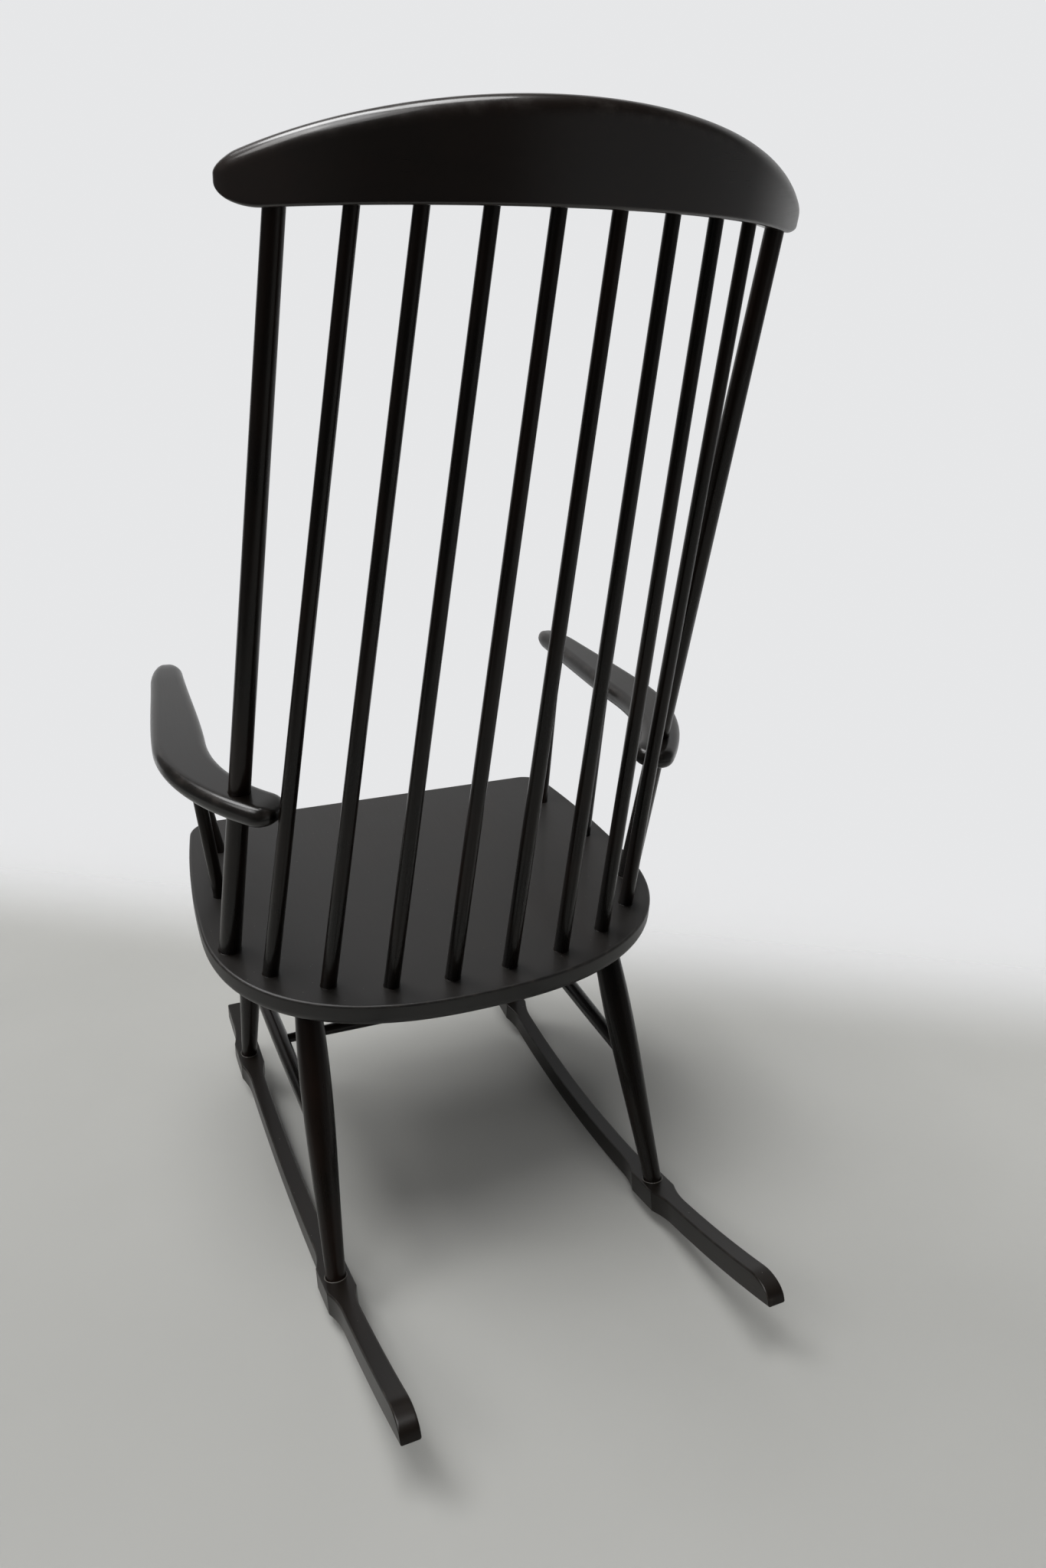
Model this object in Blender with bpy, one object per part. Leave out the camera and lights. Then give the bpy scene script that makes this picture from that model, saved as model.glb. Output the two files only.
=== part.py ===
"""Rocking chair with a spindle back, arms and two rockers.

Metres, +Z up. The sitter faces -Y and has +X on the left. The chair stands at rest
on z = 0, the rockers' flattest place under its centre of mass. Points are worked out
with y = 0 at that place, and the finished chair is moved to the middle of its box.
"""
import math

import bmesh
import bpy
from mathutils import Matrix, Vector

# Gap between a tenon and its hole, all round and at the end of the hole.
CLEARANCE = 0.0003

# Seat: a board with a straight front, bowed sides and a round back.
# Reaches are measured along the board from its widest line.
SEAT_HALF_WIDTH = 0.2645
SEAT_FRONT_REACH = 0.2363
SEAT_REAR_REACH = 0.2124
SEAT_FRONT_NARROWING = 0.0232
SEAT_CORNER_RADIUS = 0.040
SEAT_BACK_POWER = 2.4
SEAT_THICKNESS = 0.028
SEAT_TOP_ROUND = 0.004
SEAT_UNDERCUT = 0.013
SEAT_TILT = math.radians(10.35)
SEAT_HEIGHT = 0.3598
SEAT_FORWARD = 0.0323

# Rockers: bars bent to an arc, widened to a boss under each leg.
ROCKER_RADIUS = 1.40
ROCKER_BEYOND_FRONT_LEG = 0.1062
ROCKER_BEYOND_REAR_LEG = 0.2435
ROCKER_WIDTH = 0.0185
ROCKER_DEPTH = 0.0250
ROCKER_EDGE = 0.0022
ROCKER_HALF_SPACING = 0.1922
ROCKER_TOE_IN = 0.0228
ROCKER_NOSE = 0.020
BOSS_WIDTH = 0.031
BOSS_FLAT = 0.018
BOSS_FADE = 0.042

# Legs: turned, thickest above the middle, set into the seat and the rockers.
LEG_FOOT_RADIUS = 0.0102
LEG_BELLY_RADIUS = 0.0164
LEG_TOP_RADIUS = 0.0120
LEG_BELLY_SHARE = 0.66
LEG_SEAT_TENON = 0.013
LEG_ROCKER_TENON = 0.013
FRONT_LEG_SPLAY = 0.0918
FRONT_LEG_TOP_HALF_SPACING = 0.1804
FRONT_LEG_TOP_INSET = 0.079
REAR_LEG_SPLAY = 0.1014
REAR_LEG_TOP_HALF_SPACING = 0.1742
REAR_LEG_TOP_INSET = 0.0941

# Stretchers: one along each side between the legs, one across between those two.
SIDE_STRETCHER_SHARE = 0.4875
SIDE_STRETCHER_RADIUS = 0.0095
SIDE_STRETCHER_END_RADIUS = 0.0078
CROSS_STRETCHER_SHARE = 0.4918
CROSS_STRETCHER_RADIUS = 0.0078
CROSS_STRETCHER_END_RADIUS = 0.0052
STRETCHER_END_SHORT_OF_AXIS = 0.002

# Crest rail: bent in plan, its upper and lower edges bowed, its ends rounded.
CREST_HALF_LENGTH = 0.2490
CREST_MIDDLE_HEIGHT = 0.0615
CREST_TOP_DROP = 0.0580
CREST_LOWER_DROP = 0.0235
CREST_THICKNESS = 0.020
CREST_TOP_ROUND = 0.0065
CREST_LOWER_ROUND = 0.0025
CREST_TIP_UPPER = 0.011
CREST_TIP_LOWER = 0.034
CREST_BEND_RADIUS = 0.310
CREST_RECLINE = math.radians(18.0)
CREST_LOWER_EDGE_HEIGHT = 1.0035
CREST_BACK = 0.4000

# Back: thin spindles between two thicker outer posts, all set into seat and crest.
SPINDLES = 8
SPINDLE_FOOT_RADIUS = 0.0084
SPINDLE_TOP_RADIUS = 0.0055
POST_FOOT_RADIUS = 0.0118
POST_TOP_RADIUS = 0.0077
BACK_FOOT_SPACING = 0.0645
BACK_LINE_SIDE_INSET = 0.0149
BACK_LINE_REAR_INSET = 0.0353
BACK_LINE_FORWARD = 0.0187
CREST_SPACING = 0.0448
CREST_OUTER_GAP = 0.0525
BACK_SEAT_TENON = 0.013
BACK_CREST_TENON = 0.013

# Arms: flat boards, straight in front and bent inwards behind, with a rounded edge.
# The height is that of the plane of their tops at y = 0; the outer posts go through them.
ARM_THICKNESS = 0.0225
ARM_ROUND = 0.0092
ARM_TILT = math.radians(10.7)
ARM_HEIGHT = 0.573
ARM_BEYOND_POST = 0.0237
ARM_TOE = math.radians(3.2)
ARM_STRAIGHT = 0.2228
ARM_BEND_RADIUS = 0.2171
ARM_BEND = math.radians(44.2)
ARM_FRONT_HALF_WIDTH = 0.0181
ARM_ELBOW_HALF_WIDTH = 0.0267
ARM_REAR_HALF_WIDTH = 0.0219

# Arm posts: two under each arm, leaning outwards, the front one above the front leg.
ARM_POST_RADIUS = 0.0072
ARM_POST_SEAT_TENON = 0.013
ARM_POST_ARM_TENON = 0.010
FRONT_ARM_POST_SEAT_INSET = 0.0362
FRONT_ARM_POST_FROM_TIP = 0.0369
FRONT_ARM_POST_ARM_INSET = 0.0030
REAR_ARM_POST_SEAT_INSET = 0.0296
REAR_ARM_POST_FROM_TIP = 0.1745
REAR_ARM_POST_ARM_INSET = 0.0100
ARM_POST_SEAT_SPACING = 0.1027

# Facets of round sections and of long curves.
ROUND_SIDES = 20
ROCKER_FACET = 0.0170
CREST_SEGMENTS = 28
ARM_SEGMENTS = 22
LACQUER = (0.012, 0.0105, 0.010, 1.0)

# Lines along the seat where the legs meet it, and how far forward or back their feet stand.
FRONT_LEG_LINE = -SEAT_FRONT_REACH + FRONT_LEG_TOP_INSET
REAR_LEG_LINE = SEAT_REAR_REACH - REAR_LEG_TOP_INSET
FRONT_FOOT_Y = -SEAT_FORWARD + FRONT_LEG_LINE * math.cos(SEAT_TILT) - FRONT_LEG_SPLAY
REAR_FOOT_Y = -SEAT_FORWARD + REAR_LEG_LINE * math.cos(SEAT_TILT) + REAR_LEG_SPLAY
ROCKER_FRONT_Y = FRONT_FOOT_Y - ROCKER_BEYOND_FRONT_LEG
ROCKER_REAR_Y = REAR_FOOT_Y + ROCKER_BEYOND_REAR_LEG
ARM_LENGTH = ARM_STRAIGHT + ARM_BEND_RADIUS * ARM_BEND


def seat_point(x, along, up=0.0):
    """World point on the tilted seat: along its length from the widest line, up from its top."""
    y = -SEAT_FORWARD + along * math.cos(SEAT_TILT) + up * math.sin(SEAT_TILT)
    z = SEAT_HEIGHT - along * math.sin(SEAT_TILT) + up * math.cos(SEAT_TILT)
    return Vector((x, y, z))


def arm_point(x, along, up=0.0):
    """World point on the tilted plane of the arms' tops, along it from y = 0."""
    y = along * math.cos(ARM_TILT) + up * math.sin(ARM_TILT)
    z = ARM_HEIGHT - along * math.sin(ARM_TILT) + up * math.cos(ARM_TILT)
    return Vector((x, y, z))


def crest_point(arc, rise, out):
    """World point of the crest: along its bend, up its face, and out from its mid-thickness."""
    turn = arc / CREST_BEND_RADIUS
    x = (CREST_BEND_RADIUS + out) * math.sin(turn)
    depth = (CREST_BEND_RADIUS + out) * math.cos(turn) - CREST_BEND_RADIUS
    y = CREST_BACK + depth * math.cos(CREST_RECLINE) + rise * math.sin(CREST_RECLINE)
    z = CREST_LOWER_EDGE_HEIGHT - depth * math.sin(CREST_RECLINE) + rise * math.cos(CREST_RECLINE)
    return Vector((x, y, z))


def crest_lower(arc):
    return -CREST_LOWER_DROP * (arc / CREST_HALF_LENGTH) ** 2


def crest_upper(arc):
    return CREST_MIDDLE_HEIGHT - CREST_TOP_DROP * (arc / CREST_HALF_LENGTH) ** 2


def rocker_point(side, y, up, across=0.0):
    """World point of a rocker: up from its underside along the arc's radius, across its width."""
    lift = math.sqrt(ROCKER_RADIUS ** 2 - (ROCKER_FACET / 2) ** 2)
    turn = math.asin(y / ROCKER_RADIUS)
    reach = ROCKER_RADIUS - up
    x = ROCKER_HALF_SPACING - ROCKER_TOE_IN * y + across
    return Vector((side * x, reach * math.sin(turn), lift - reach * math.cos(turn)))


def finish(name, bm, smooth=True):
    """Turn a closed shape into a named object with its own lacquer."""
    bmesh.ops.recalc_face_normals(bm, faces=bm.faces)
    mesh = bpy.data.meshes.new(name)
    bm.to_mesh(mesh)
    bm.free()
    for face in mesh.polygons:
        face.use_smooth = smooth
    obj = bpy.data.objects.new(name, mesh)
    bpy.context.scene.collection.objects.link(obj)
    material = bpy.data.materials.new(name + "_lacquer")
    material.use_nodes = True
    shader = material.node_tree.nodes["Principled BSDF"]
    shader.inputs["Base Color"].default_value = LACQUER
    shader.inputs["Roughness"].default_value = 0.35
    mesh.materials.append(material)
    return obj


def loft(name, rings, smooth=True):
    """Skin a row of equal rings into one closed body."""
    bm = bmesh.new()
    rows = [[bm.verts.new(point) for point in ring] for ring in rings]
    for first, second in zip(rows, rows[1:]):
        for i in range(len(first)):
            k = (i + 1) % len(first)
            bm.faces.new((first[i], first[k], second[k], second[i]))
    bm.faces.new(rows[0])
    bm.faces.new(rows[-1])
    return finish(name, bm, smooth)


def spin_profile(bm, profile, sides, place):
    """Spin a profile of (radius, height) pairs about its own axis and put it in place."""
    points = [(0.0, profile[0][1])] + profile + [(0.0, profile[-1][1])]
    verts = [bm.verts.new((radius, 0.0, height)) for radius, height in points]
    edges = [bm.edges.new(pair) for pair in zip(verts, verts[1:])]
    known = set(bm.verts) - set(verts)
    bmesh.ops.spin(bm, geom=verts + edges, cent=(0, 0, 0), axis=(0, 0, 1), dvec=(0, 0, 0),
                   angle=2 * math.pi, steps=sides, use_merge=True, use_duplicate=False)
    made = [vert for vert in bm.verts if vert not in known]
    bmesh.ops.remove_doubles(bm, verts=made, dist=1e-6)
    made = [vert for vert in bm.verts if vert not in known]
    bmesh.ops.transform(bm, matrix=place, verts=made)


def axis_frame(start, end):
    """Frame at start whose Z runs to end."""
    turn = (end - start).to_track_quat("Z", "Y")
    return Matrix.Translation(start) @ turn.to_matrix().to_4x4()


class Turned:
    """A round piece between two points, with a radius along its length and a tenon at each end."""

    def __init__(self, name, start, end, radius, tenons, rings):
        self.name = name
        self.start = start
        self.end = end
        self.radius = radius
        self.tenons = tenons
        self.rings = rings
        self.length = (end - start).length
        self.axis = (end - start).normalized()

    def at(self, share):
        return self.start.lerp(self.end, share)

    def profile(self, low, high, count, extra=0.0):
        """Radius and height pairs between two distances from the start, grown by extra."""
        pairs = []
        for i in range(count + 1):
            height = low + (high - low) * i / count
            share = min(max(height / self.length, 0.0), 1.0)
            pairs.append((self.radius(share) + extra, height))
        return pairs

    def build(self):
        """The piece itself, modelled along Z at the origin and set in place by its object."""
        bm = bmesh.new()
        body = self.profile(0.0, self.length, self.rings)
        foot = (body[0][0], -self.tenons[0])
        head = (body[-1][0], self.length + self.tenons[1])
        spin_profile(bm, [foot] + body + [head], ROUND_SIDES, Matrix.Identity(4))
        obj = finish(self.name, bm)
        obj.matrix_world = axis_frame(self.start, self.end)
        return obj

    def hole(self, bm, low, high, rings=1):
        """Add the space that this piece takes between two distances from its start."""
        pairs = self.profile(low, high, rings, CLEARANCE)
        spin_profile(bm, pairs, ROUND_SIDES, axis_frame(self.start, self.end))

    def foot_hole(self, bm, above):
        self.hole(bm, -self.tenons[0] - CLEARANCE, above)

    def head_hole(self, bm, below):
        self.hole(bm, self.length - below, self.length + self.tenons[1] + CLEARANCE)

    def whole_hole(self, bm, reach):
        self.hole(bm, 0.0, reach)


def bore(obj, holes):
    """Cut a set of holes, each added by a function, out of a piece."""
    bm = bmesh.new()
    for add, reach in holes:
        add(bm, reach)
    cutter = finish(obj.name + "_holes", bm)
    cutter.hide_render = True
    cutter.display_type = "WIRE"
    cut = obj.modifiers.new("holes", "BOOLEAN")
    cut.operation = "DIFFERENCE"
    cut.solver = "EXACT"
    cut.object = cutter


def seat_half_width(along):
    """Half width of the seat's bowed side, in front of its widest line."""
    return SEAT_HALF_WIDTH - SEAT_FRONT_NARROWING * (along / SEAT_FRONT_REACH) ** 2


def super_arc(half_width, reach, share):
    """Point of a squarish half oval, from its side at share 0 to its back at share 1."""
    turn = share * math.pi / 2
    power = 2 / SEAT_BACK_POWER
    return (half_width * math.cos(turn) ** power, reach * math.sin(turn) ** power)


def seat_outline():
    """Outline of the seat's left half, from the middle of its front to the middle of its back."""
    slope = 0.0
    for _ in range(12):
        touch = -SEAT_FRONT_REACH + SEAT_CORNER_RADIUS * (1 - math.sin(slope))
        slope = math.atan(-2 * SEAT_FRONT_NARROWING * touch / SEAT_FRONT_REACH ** 2)
    centre_x = seat_half_width(touch) - SEAT_CORNER_RADIUS * math.cos(slope)
    centre_y = -SEAT_FRONT_REACH + SEAT_CORNER_RADIUS
    points = [(centre_x * i / 4, -SEAT_FRONT_REACH) for i in range(4)]
    for i in range(8):
        turn = -math.pi / 2 + (math.pi / 2 - slope) * i / 7
        points.append((centre_x + SEAT_CORNER_RADIUS * math.cos(turn),
                       centre_y + SEAT_CORNER_RADIUS * math.sin(turn)))
    points += [(seat_half_width(touch * (1 - i / 7)), touch * (1 - i / 7)) for i in range(1, 7)]
    points += [super_arc(SEAT_HALF_WIDTH, SEAT_REAR_REACH, i / 20) for i in range(21)]
    return points


def inset_outline(points, inset):
    """Move a closed outline inwards along its own normals."""
    moved = []
    for i, point in enumerate(points):
        before = Vector(points[i - 1])
        after = Vector(points[(i + 1) % len(points)])
        run = (after - before).normalized()
        moved.append((point[0] - run.y * inset, point[1] + run.x * inset))
    return moved


def build_seat():
    left = seat_outline()
    right = [(-x, y) for x, y in reversed(left[1:-1])]
    outline = left + right
    edge = []
    for i in range(4):
        turn = math.pi / 2 * i / 3
        edge.append((SEAT_TOP_ROUND * (1 - math.sin(turn)), -SEAT_TOP_ROUND * (1 - math.cos(turn))))
    lower = SEAT_THICKNESS - SEAT_UNDERCUT
    for i in range(4):
        turn = math.pi / 2 * i / 3
        edge.append((SEAT_UNDERCUT * (1 - math.cos(turn)), -lower - SEAT_UNDERCUT * math.sin(turn)))
    rings = []
    for inset, up in edge:
        rings.append([seat_point(x, along, up) for x, along in inset_outline(outline, inset)])
    return loft("seat", rings)


def rounded_section(low, high, half_thickness, low_round, high_round):
    """Closed section of (height, offset) pairs, rounded at its lower and upper edges."""
    section = []
    for end, sign, size in ((low, -1, low_round), (high, 1, high_round)):
        for side in (-sign, sign):
            for i in range(4):
                turn = math.pi / 2 * (i if side == sign else 3 - i) / 3
                height = end - sign * size * (1 - math.cos(turn))
                offset = side * (half_thickness - size * (1 - math.sin(turn)))
                section.append((height, offset))
    return section


def end_shares(count):
    """Shares of a rounded end, from its start to just short of its tip."""
    return [math.radians(78.0) * (i + 1) / count for i in range(count)]


def tip_share(arc, tip):
    """Share of the crest's height left at a distance along it, where its end rounds off."""
    inside = max((abs(arc) - CREST_HALF_LENGTH + tip) / tip, 0.0)
    return math.sqrt(max(1 - inside * inside, 0.0))


def build_crest():
    """Sections along the bend; towards each end they close in on a round tip."""
    body = CREST_HALF_LENGTH - CREST_TIP_LOWER
    stations = [body * (2 * i / CREST_SEGMENTS - 1) for i in range(CREST_SEGMENTS + 1)]
    rounding = [body + CREST_TIP_LOWER * math.sin(turn) for turn in end_shares(7)]
    stations = [-arc for arc in reversed(rounding)] + stations + rounding
    rings = []
    for arc in stations:
        middle = (crest_upper(arc) + crest_lower(arc)) / 2
        half = (crest_upper(arc) - crest_lower(arc)) / 2
        above = tip_share(arc, CREST_TIP_UPPER)
        below = tip_share(arc, CREST_TIP_LOWER)
        thin = CREST_THICKNESS / 2 - CREST_TOP_ROUND * (1 - above)
        section = rounded_section(middle - half * below, middle + half * above, thin,
                                  CREST_LOWER_ROUND * below, min(CREST_TOP_ROUND, thin) * above)
        rings.append([crest_point(arc, rise, out) for rise, out in section])
    return loft("crest_rail", rings)


def arm_run(distance):
    """Shift and heading of the arm's middle line at a distance from its front end."""
    shift = min(distance, ARM_STRAIGHT) * Vector((math.sin(ARM_TOE), math.cos(ARM_TOE)))
    heading = ARM_TOE - max(distance - ARM_STRAIGHT, 0.0) / ARM_BEND_RADIUS
    shift.x += ARM_BEND_RADIUS * (math.cos(heading) - math.cos(ARM_TOE))
    shift.y += ARM_BEND_RADIUS * (math.sin(ARM_TOE) - math.sin(heading))
    return shift, heading


def arm_front(post):
    """Front end of the arm's middle line that brings its rear end round the outer back post."""
    normal = Vector((0.0, math.sin(ARM_TILT), math.cos(ARM_TILT)))
    rise = ARM_HEIGHT * math.cos(ARM_TILT) - post.start.dot(normal)
    through = post.at(rise / (post.end - post.start).dot(normal))
    shift, _ = arm_run(ARM_LENGTH - ARM_BEYOND_POST)
    return Vector((abs(through.x), through.y / math.cos(ARM_TILT))) - shift


def blend(low, high, share):
    """Smooth change from one value to another."""
    share = min(max(share, 0.0), 1.0)
    return low + (high - low) * share * share * (3 - 2 * share)


def arm_half_width(distance):
    if distance < ARM_STRAIGHT:
        return blend(ARM_FRONT_HALF_WIDTH, ARM_ELBOW_HALF_WIDTH, distance / ARM_STRAIGHT)
    share = (distance - ARM_STRAIGHT) / (ARM_LENGTH - ARM_STRAIGHT)
    return blend(ARM_ELBOW_HALF_WIDTH, ARM_REAR_HALF_WIDTH, share)


def build_arm(name, side, start):
    """Sections across the middle line; each end closes in on a round tip."""
    stations = [(ARM_LENGTH * i / ARM_SEGMENTS, 0.0, 1.0) for i in range(ARM_SEGMENTS + 1)]
    for turn in end_shares(5):
        front = -ARM_FRONT_HALF_WIDTH * math.sin(turn)
        rear = ARM_REAR_HALF_WIDTH * math.sin(turn)
        stations.insert(0, (0.0, front, math.cos(turn)))
        stations.append((ARM_LENGTH, rear, math.cos(turn)))
    rings = []
    for distance, beyond, share in stations:
        shift, heading = arm_run(distance)
        centre = start + shift + beyond * Vector((math.sin(heading), math.cos(heading)))
        half = arm_half_width(distance) * share
        thin = ARM_THICKNESS / 2 - ARM_ROUND * (1 - share)
        rounding = min(ARM_ROUND, thin) * share
        ring = []
        for across, up in rounded_section(-half, half, thin, rounding, rounding):
            x = centre.x + across * math.cos(heading)
            along = centre.y - across * math.sin(heading)
            ring.append(arm_point(side * x, along, up - ARM_THICKNESS / 2))
        rings.append(ring)
    return loft(name, rings)


def rocker_half_width(y):
    """Half width of a rocker, swelling to a boss under each leg."""
    swell = 0.0
    for centre in (FRONT_FOOT_Y, REAR_FOOT_Y):
        away = (abs(y - centre) - BOSS_FLAT) / BOSS_FADE
        swell = max(swell, blend(1.0, 0.0, away))
    return (ROCKER_WIDTH + (BOSS_WIDTH - ROCKER_WIDTH) * swell) / 2


def build_rocker(name, side):
    """Sections across the arc; the rear end rounds down, the front end is cut square."""
    before = int((-ROCKER_FRONT_Y - ROCKER_EDGE) / ROCKER_FACET - 0.5)
    after = int((ROCKER_REAR_Y - ROCKER_NOSE) / ROCKER_FACET - 0.5)
    stations = [ROCKER_FRONT_Y]
    stations += [(i + 0.5) * ROCKER_FACET for i in range(-before - 1, after + 1)]
    stations += [ROCKER_REAR_Y - ROCKER_NOSE * (1 - math.sin(turn)) for turn in end_shares(4)]
    rings = []
    for y in stations:
        inside = max((y - ROCKER_REAR_Y + ROCKER_NOSE) / ROCKER_NOSE, 0.0)
        top = ROCKER_DEPTH - ROCKER_NOSE * 0.7 * (1 - math.sqrt(1 - inside * inside))
        half = rocker_half_width(y)
        edge = ROCKER_EDGE
        corners = [(-half + edge, 0.0), (half - edge, 0.0), (half, edge), (half, top - edge),
                   (half - edge, top), (-half + edge, top), (-half, top - edge), (-half, edge)]
        rings.append([rocker_point(side, y, up, across) for across, up in corners])
    return loft(name, rings, smooth=False)


def leg_radius(share):
    if share < LEG_BELLY_SHARE:
        swell = math.sin(math.pi / 2 * share / LEG_BELLY_SHARE) ** 1.4
        return LEG_FOOT_RADIUS + (LEG_BELLY_RADIUS - LEG_FOOT_RADIUS) * swell
    swell = math.cos(math.pi / 2 * (share - LEG_BELLY_SHARE) / (1 - LEG_BELLY_SHARE))
    return LEG_TOP_RADIUS + (LEG_BELLY_RADIUS - LEG_TOP_RADIUS) * swell


def taper(low, high):
    return lambda share: low + (high - low) * share


def swelled(end, middle):
    return lambda share: end + (middle - end) * math.sin(math.pi * share) ** 0.8


def back_feet(count):
    """Places along the back line of the seat, evenly spaced from its middle to its sides."""
    half_width = SEAT_HALF_WIDTH - BACK_LINE_SIDE_INSET
    reach = SEAT_REAR_REACH - BACK_LINE_REAR_INSET + BACK_LINE_FORWARD
    steps = 4000
    run = [super_arc(half_width, reach, 1 - i / steps) for i in range(steps + 1)]
    feet = []
    walked = 0.0
    for before, after in zip(run, run[1:]):
        walked += math.dist(before, after)
        if len(feet) < count and walked >= BACK_FOOT_SPACING * (len(feet) + 0.5):
            feet.append((after[0], after[1] - BACK_LINE_FORWARD))
    return feet


def make_back(side, word):
    """Spindles of one half of the back, the outer post last."""
    inner = SPINDLES // 2
    feet = back_feet(inner + 1)
    pieces = []
    for i, (x, along) in enumerate(feet):
        outer = i == inner
        if outer:
            arc = CREST_SPACING * (i - 0.5) + CREST_OUTER_GAP
            radius = taper(POST_FOOT_RADIUS, POST_TOP_RADIUS)
            name = "back_post_" + word
        else:
            arc = CREST_SPACING * (i + 0.5)
            radius = taper(SPINDLE_FOOT_RADIUS, SPINDLE_TOP_RADIUS)
            name = "spindle_%s_%d" % (word, i + 1)
        foot = seat_point(side * x, along)
        head = crest_point(side * arc, crest_lower(arc), 0.0)
        pieces.append(Turned(name, foot, head, radius, (BACK_SEAT_TENON, BACK_CREST_TENON), 4))
    return pieces


def make_leg(name, side, foot_y, half_spacing, along):
    foot = rocker_point(side, foot_y, ROCKER_DEPTH)
    head = seat_point(side * half_spacing, along, -SEAT_THICKNESS)
    return Turned(name, foot, head, leg_radius, (LEG_ROCKER_TENON, LEG_SEAT_TENON), 10)


def make_arm_post(name, side, along, seat_inset, start, distance, arm_inset):
    """A post from near the seat's edge to the arm's underside, inwards of its middle line."""
    foot = seat_point(side * (seat_half_width(along) - seat_inset), along)
    shift, heading = arm_run(distance)
    over = start + shift + arm_inset * Vector((-math.cos(heading), math.sin(heading)))
    head = arm_point(side * over.x, over.y, -ARM_THICKNESS)
    radius = taper(ARM_POST_RADIUS, ARM_POST_RADIUS)
    return Turned(name, foot, head, radius, (ARM_POST_SEAT_TENON, ARM_POST_ARM_TENON), 1)


def make_stretcher(name, start, end, radius):
    """A bar between two axes, its ends stopping short of them."""
    run = (end - start).normalized() * STRETCHER_END_SHORT_OF_AXIS
    return Turned(name, start + run, end - run, radius, (0.0, 0.0), 8)


def build_chair():
    seat = build_seat()
    crest = build_crest()
    seat_holes = []
    crest_holes = []
    side_bars = []
    for side, word in ((1, "left"), (-1, "right")):
        arm_holes = []
        for piece in make_back(side, word):
            piece.build()
            seat_holes.append((piece.foot_hole, SEAT_THICKNESS))
            crest_holes.append((piece.head_hole, CREST_THICKNESS))
            post = piece
        arm_holes.append((post.whole_hole, post.length))
        start = arm_front(post)
        arm = build_arm("arm_" + word, side, start)
        for piece in (
                make_arm_post("arm_post_front_" + word, side, FRONT_LEG_LINE,
                              FRONT_ARM_POST_SEAT_INSET, start, FRONT_ARM_POST_FROM_TIP,
                              FRONT_ARM_POST_ARM_INSET),
                make_arm_post("arm_post_rear_" + word, side, FRONT_LEG_LINE + ARM_POST_SEAT_SPACING,
                              REAR_ARM_POST_SEAT_INSET, start, REAR_ARM_POST_FROM_TIP,
                              REAR_ARM_POST_ARM_INSET)):
            piece.build()
            seat_holes.append((piece.foot_hole, SEAT_THICKNESS))
            arm_holes.append((piece.head_hole, ARM_THICKNESS))
        bore(arm, arm_holes)

        front = make_leg("leg_front_" + word, side, FRONT_FOOT_Y,
                         FRONT_LEG_TOP_HALF_SPACING, FRONT_LEG_LINE)
        rear = make_leg("leg_rear_" + word, side, REAR_FOOT_Y,
                        REAR_LEG_TOP_HALF_SPACING, REAR_LEG_LINE)
        bar = make_stretcher("side_stretcher_" + word, front.at(SIDE_STRETCHER_SHARE),
                             rear.at(SIDE_STRETCHER_SHARE),
                             swelled(SIDE_STRETCHER_END_RADIUS, SIDE_STRETCHER_RADIUS))
        bore(front.build(), [(bar.foot_hole, 2 * LEG_BELLY_RADIUS)])
        bore(rear.build(), [(bar.head_hole, 2 * LEG_BELLY_RADIUS)])
        rocker = build_rocker("rocker_" + word, side)
        bore(rocker, [(leg.foot_hole, ROCKER_DEPTH) for leg in (front, rear)])
        seat_holes += [(leg.head_hole, SEAT_THICKNESS) for leg in (front, rear)]
        side_bars.append(bar)

    left, right = side_bars
    across = make_stretcher("cross_stretcher", left.at(CROSS_STRETCHER_SHARE),
                            right.at(CROSS_STRETCHER_SHARE),
                            swelled(CROSS_STRETCHER_END_RADIUS, CROSS_STRETCHER_RADIUS))
    across.build()
    bore(left.build(), [(across.foot_hole, 2 * SIDE_STRETCHER_RADIUS)])
    bore(right.build(), [(across.head_hole, 2 * SIDE_STRETCHER_RADIUS)])
    bore(seat, seat_holes)
    bore(crest, crest_holes)


def centre_on_floor():
    """Move the whole chair so that the middle of its bounding box stands over the origin."""
    corners = []
    for obj in bpy.data.objects:
        if not obj.hide_render:
            corners += [obj.matrix_world @ vert.co for vert in obj.data.vertices]
    middle = (min(p.y for p in corners) + max(p.y for p in corners)) / 2
    lowest = min(p.z for p in corners)
    for obj in bpy.data.objects:
        obj.location -= Vector((0.0, middle, lowest))


for old in list(bpy.data.objects):
    bpy.data.objects.remove(old, do_unlink=True)
build_chair()
bpy.context.view_layer.update()
centre_on_floor()
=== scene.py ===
# %% [markdown]
# # A rocking chair in black lacquer
# The chair is wood throughout: a board seat, a bent crest rail, two boomerang arms and two
# rockers, held together by turned sticks that stand in bored holes. Every piece has the
# same satin black lacquer, so the form and the way light runs along its rounded edges carry
# the likeness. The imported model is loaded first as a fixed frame. Each of its pieces is then
# made again with finer curves, and the finer piece stands where the frame's own piece is.

# %% Load the frame
import math

import bmesh
import bpy
from mathutils import Matrix, Vector
from mathutils.kdtree import KDTree


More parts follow.
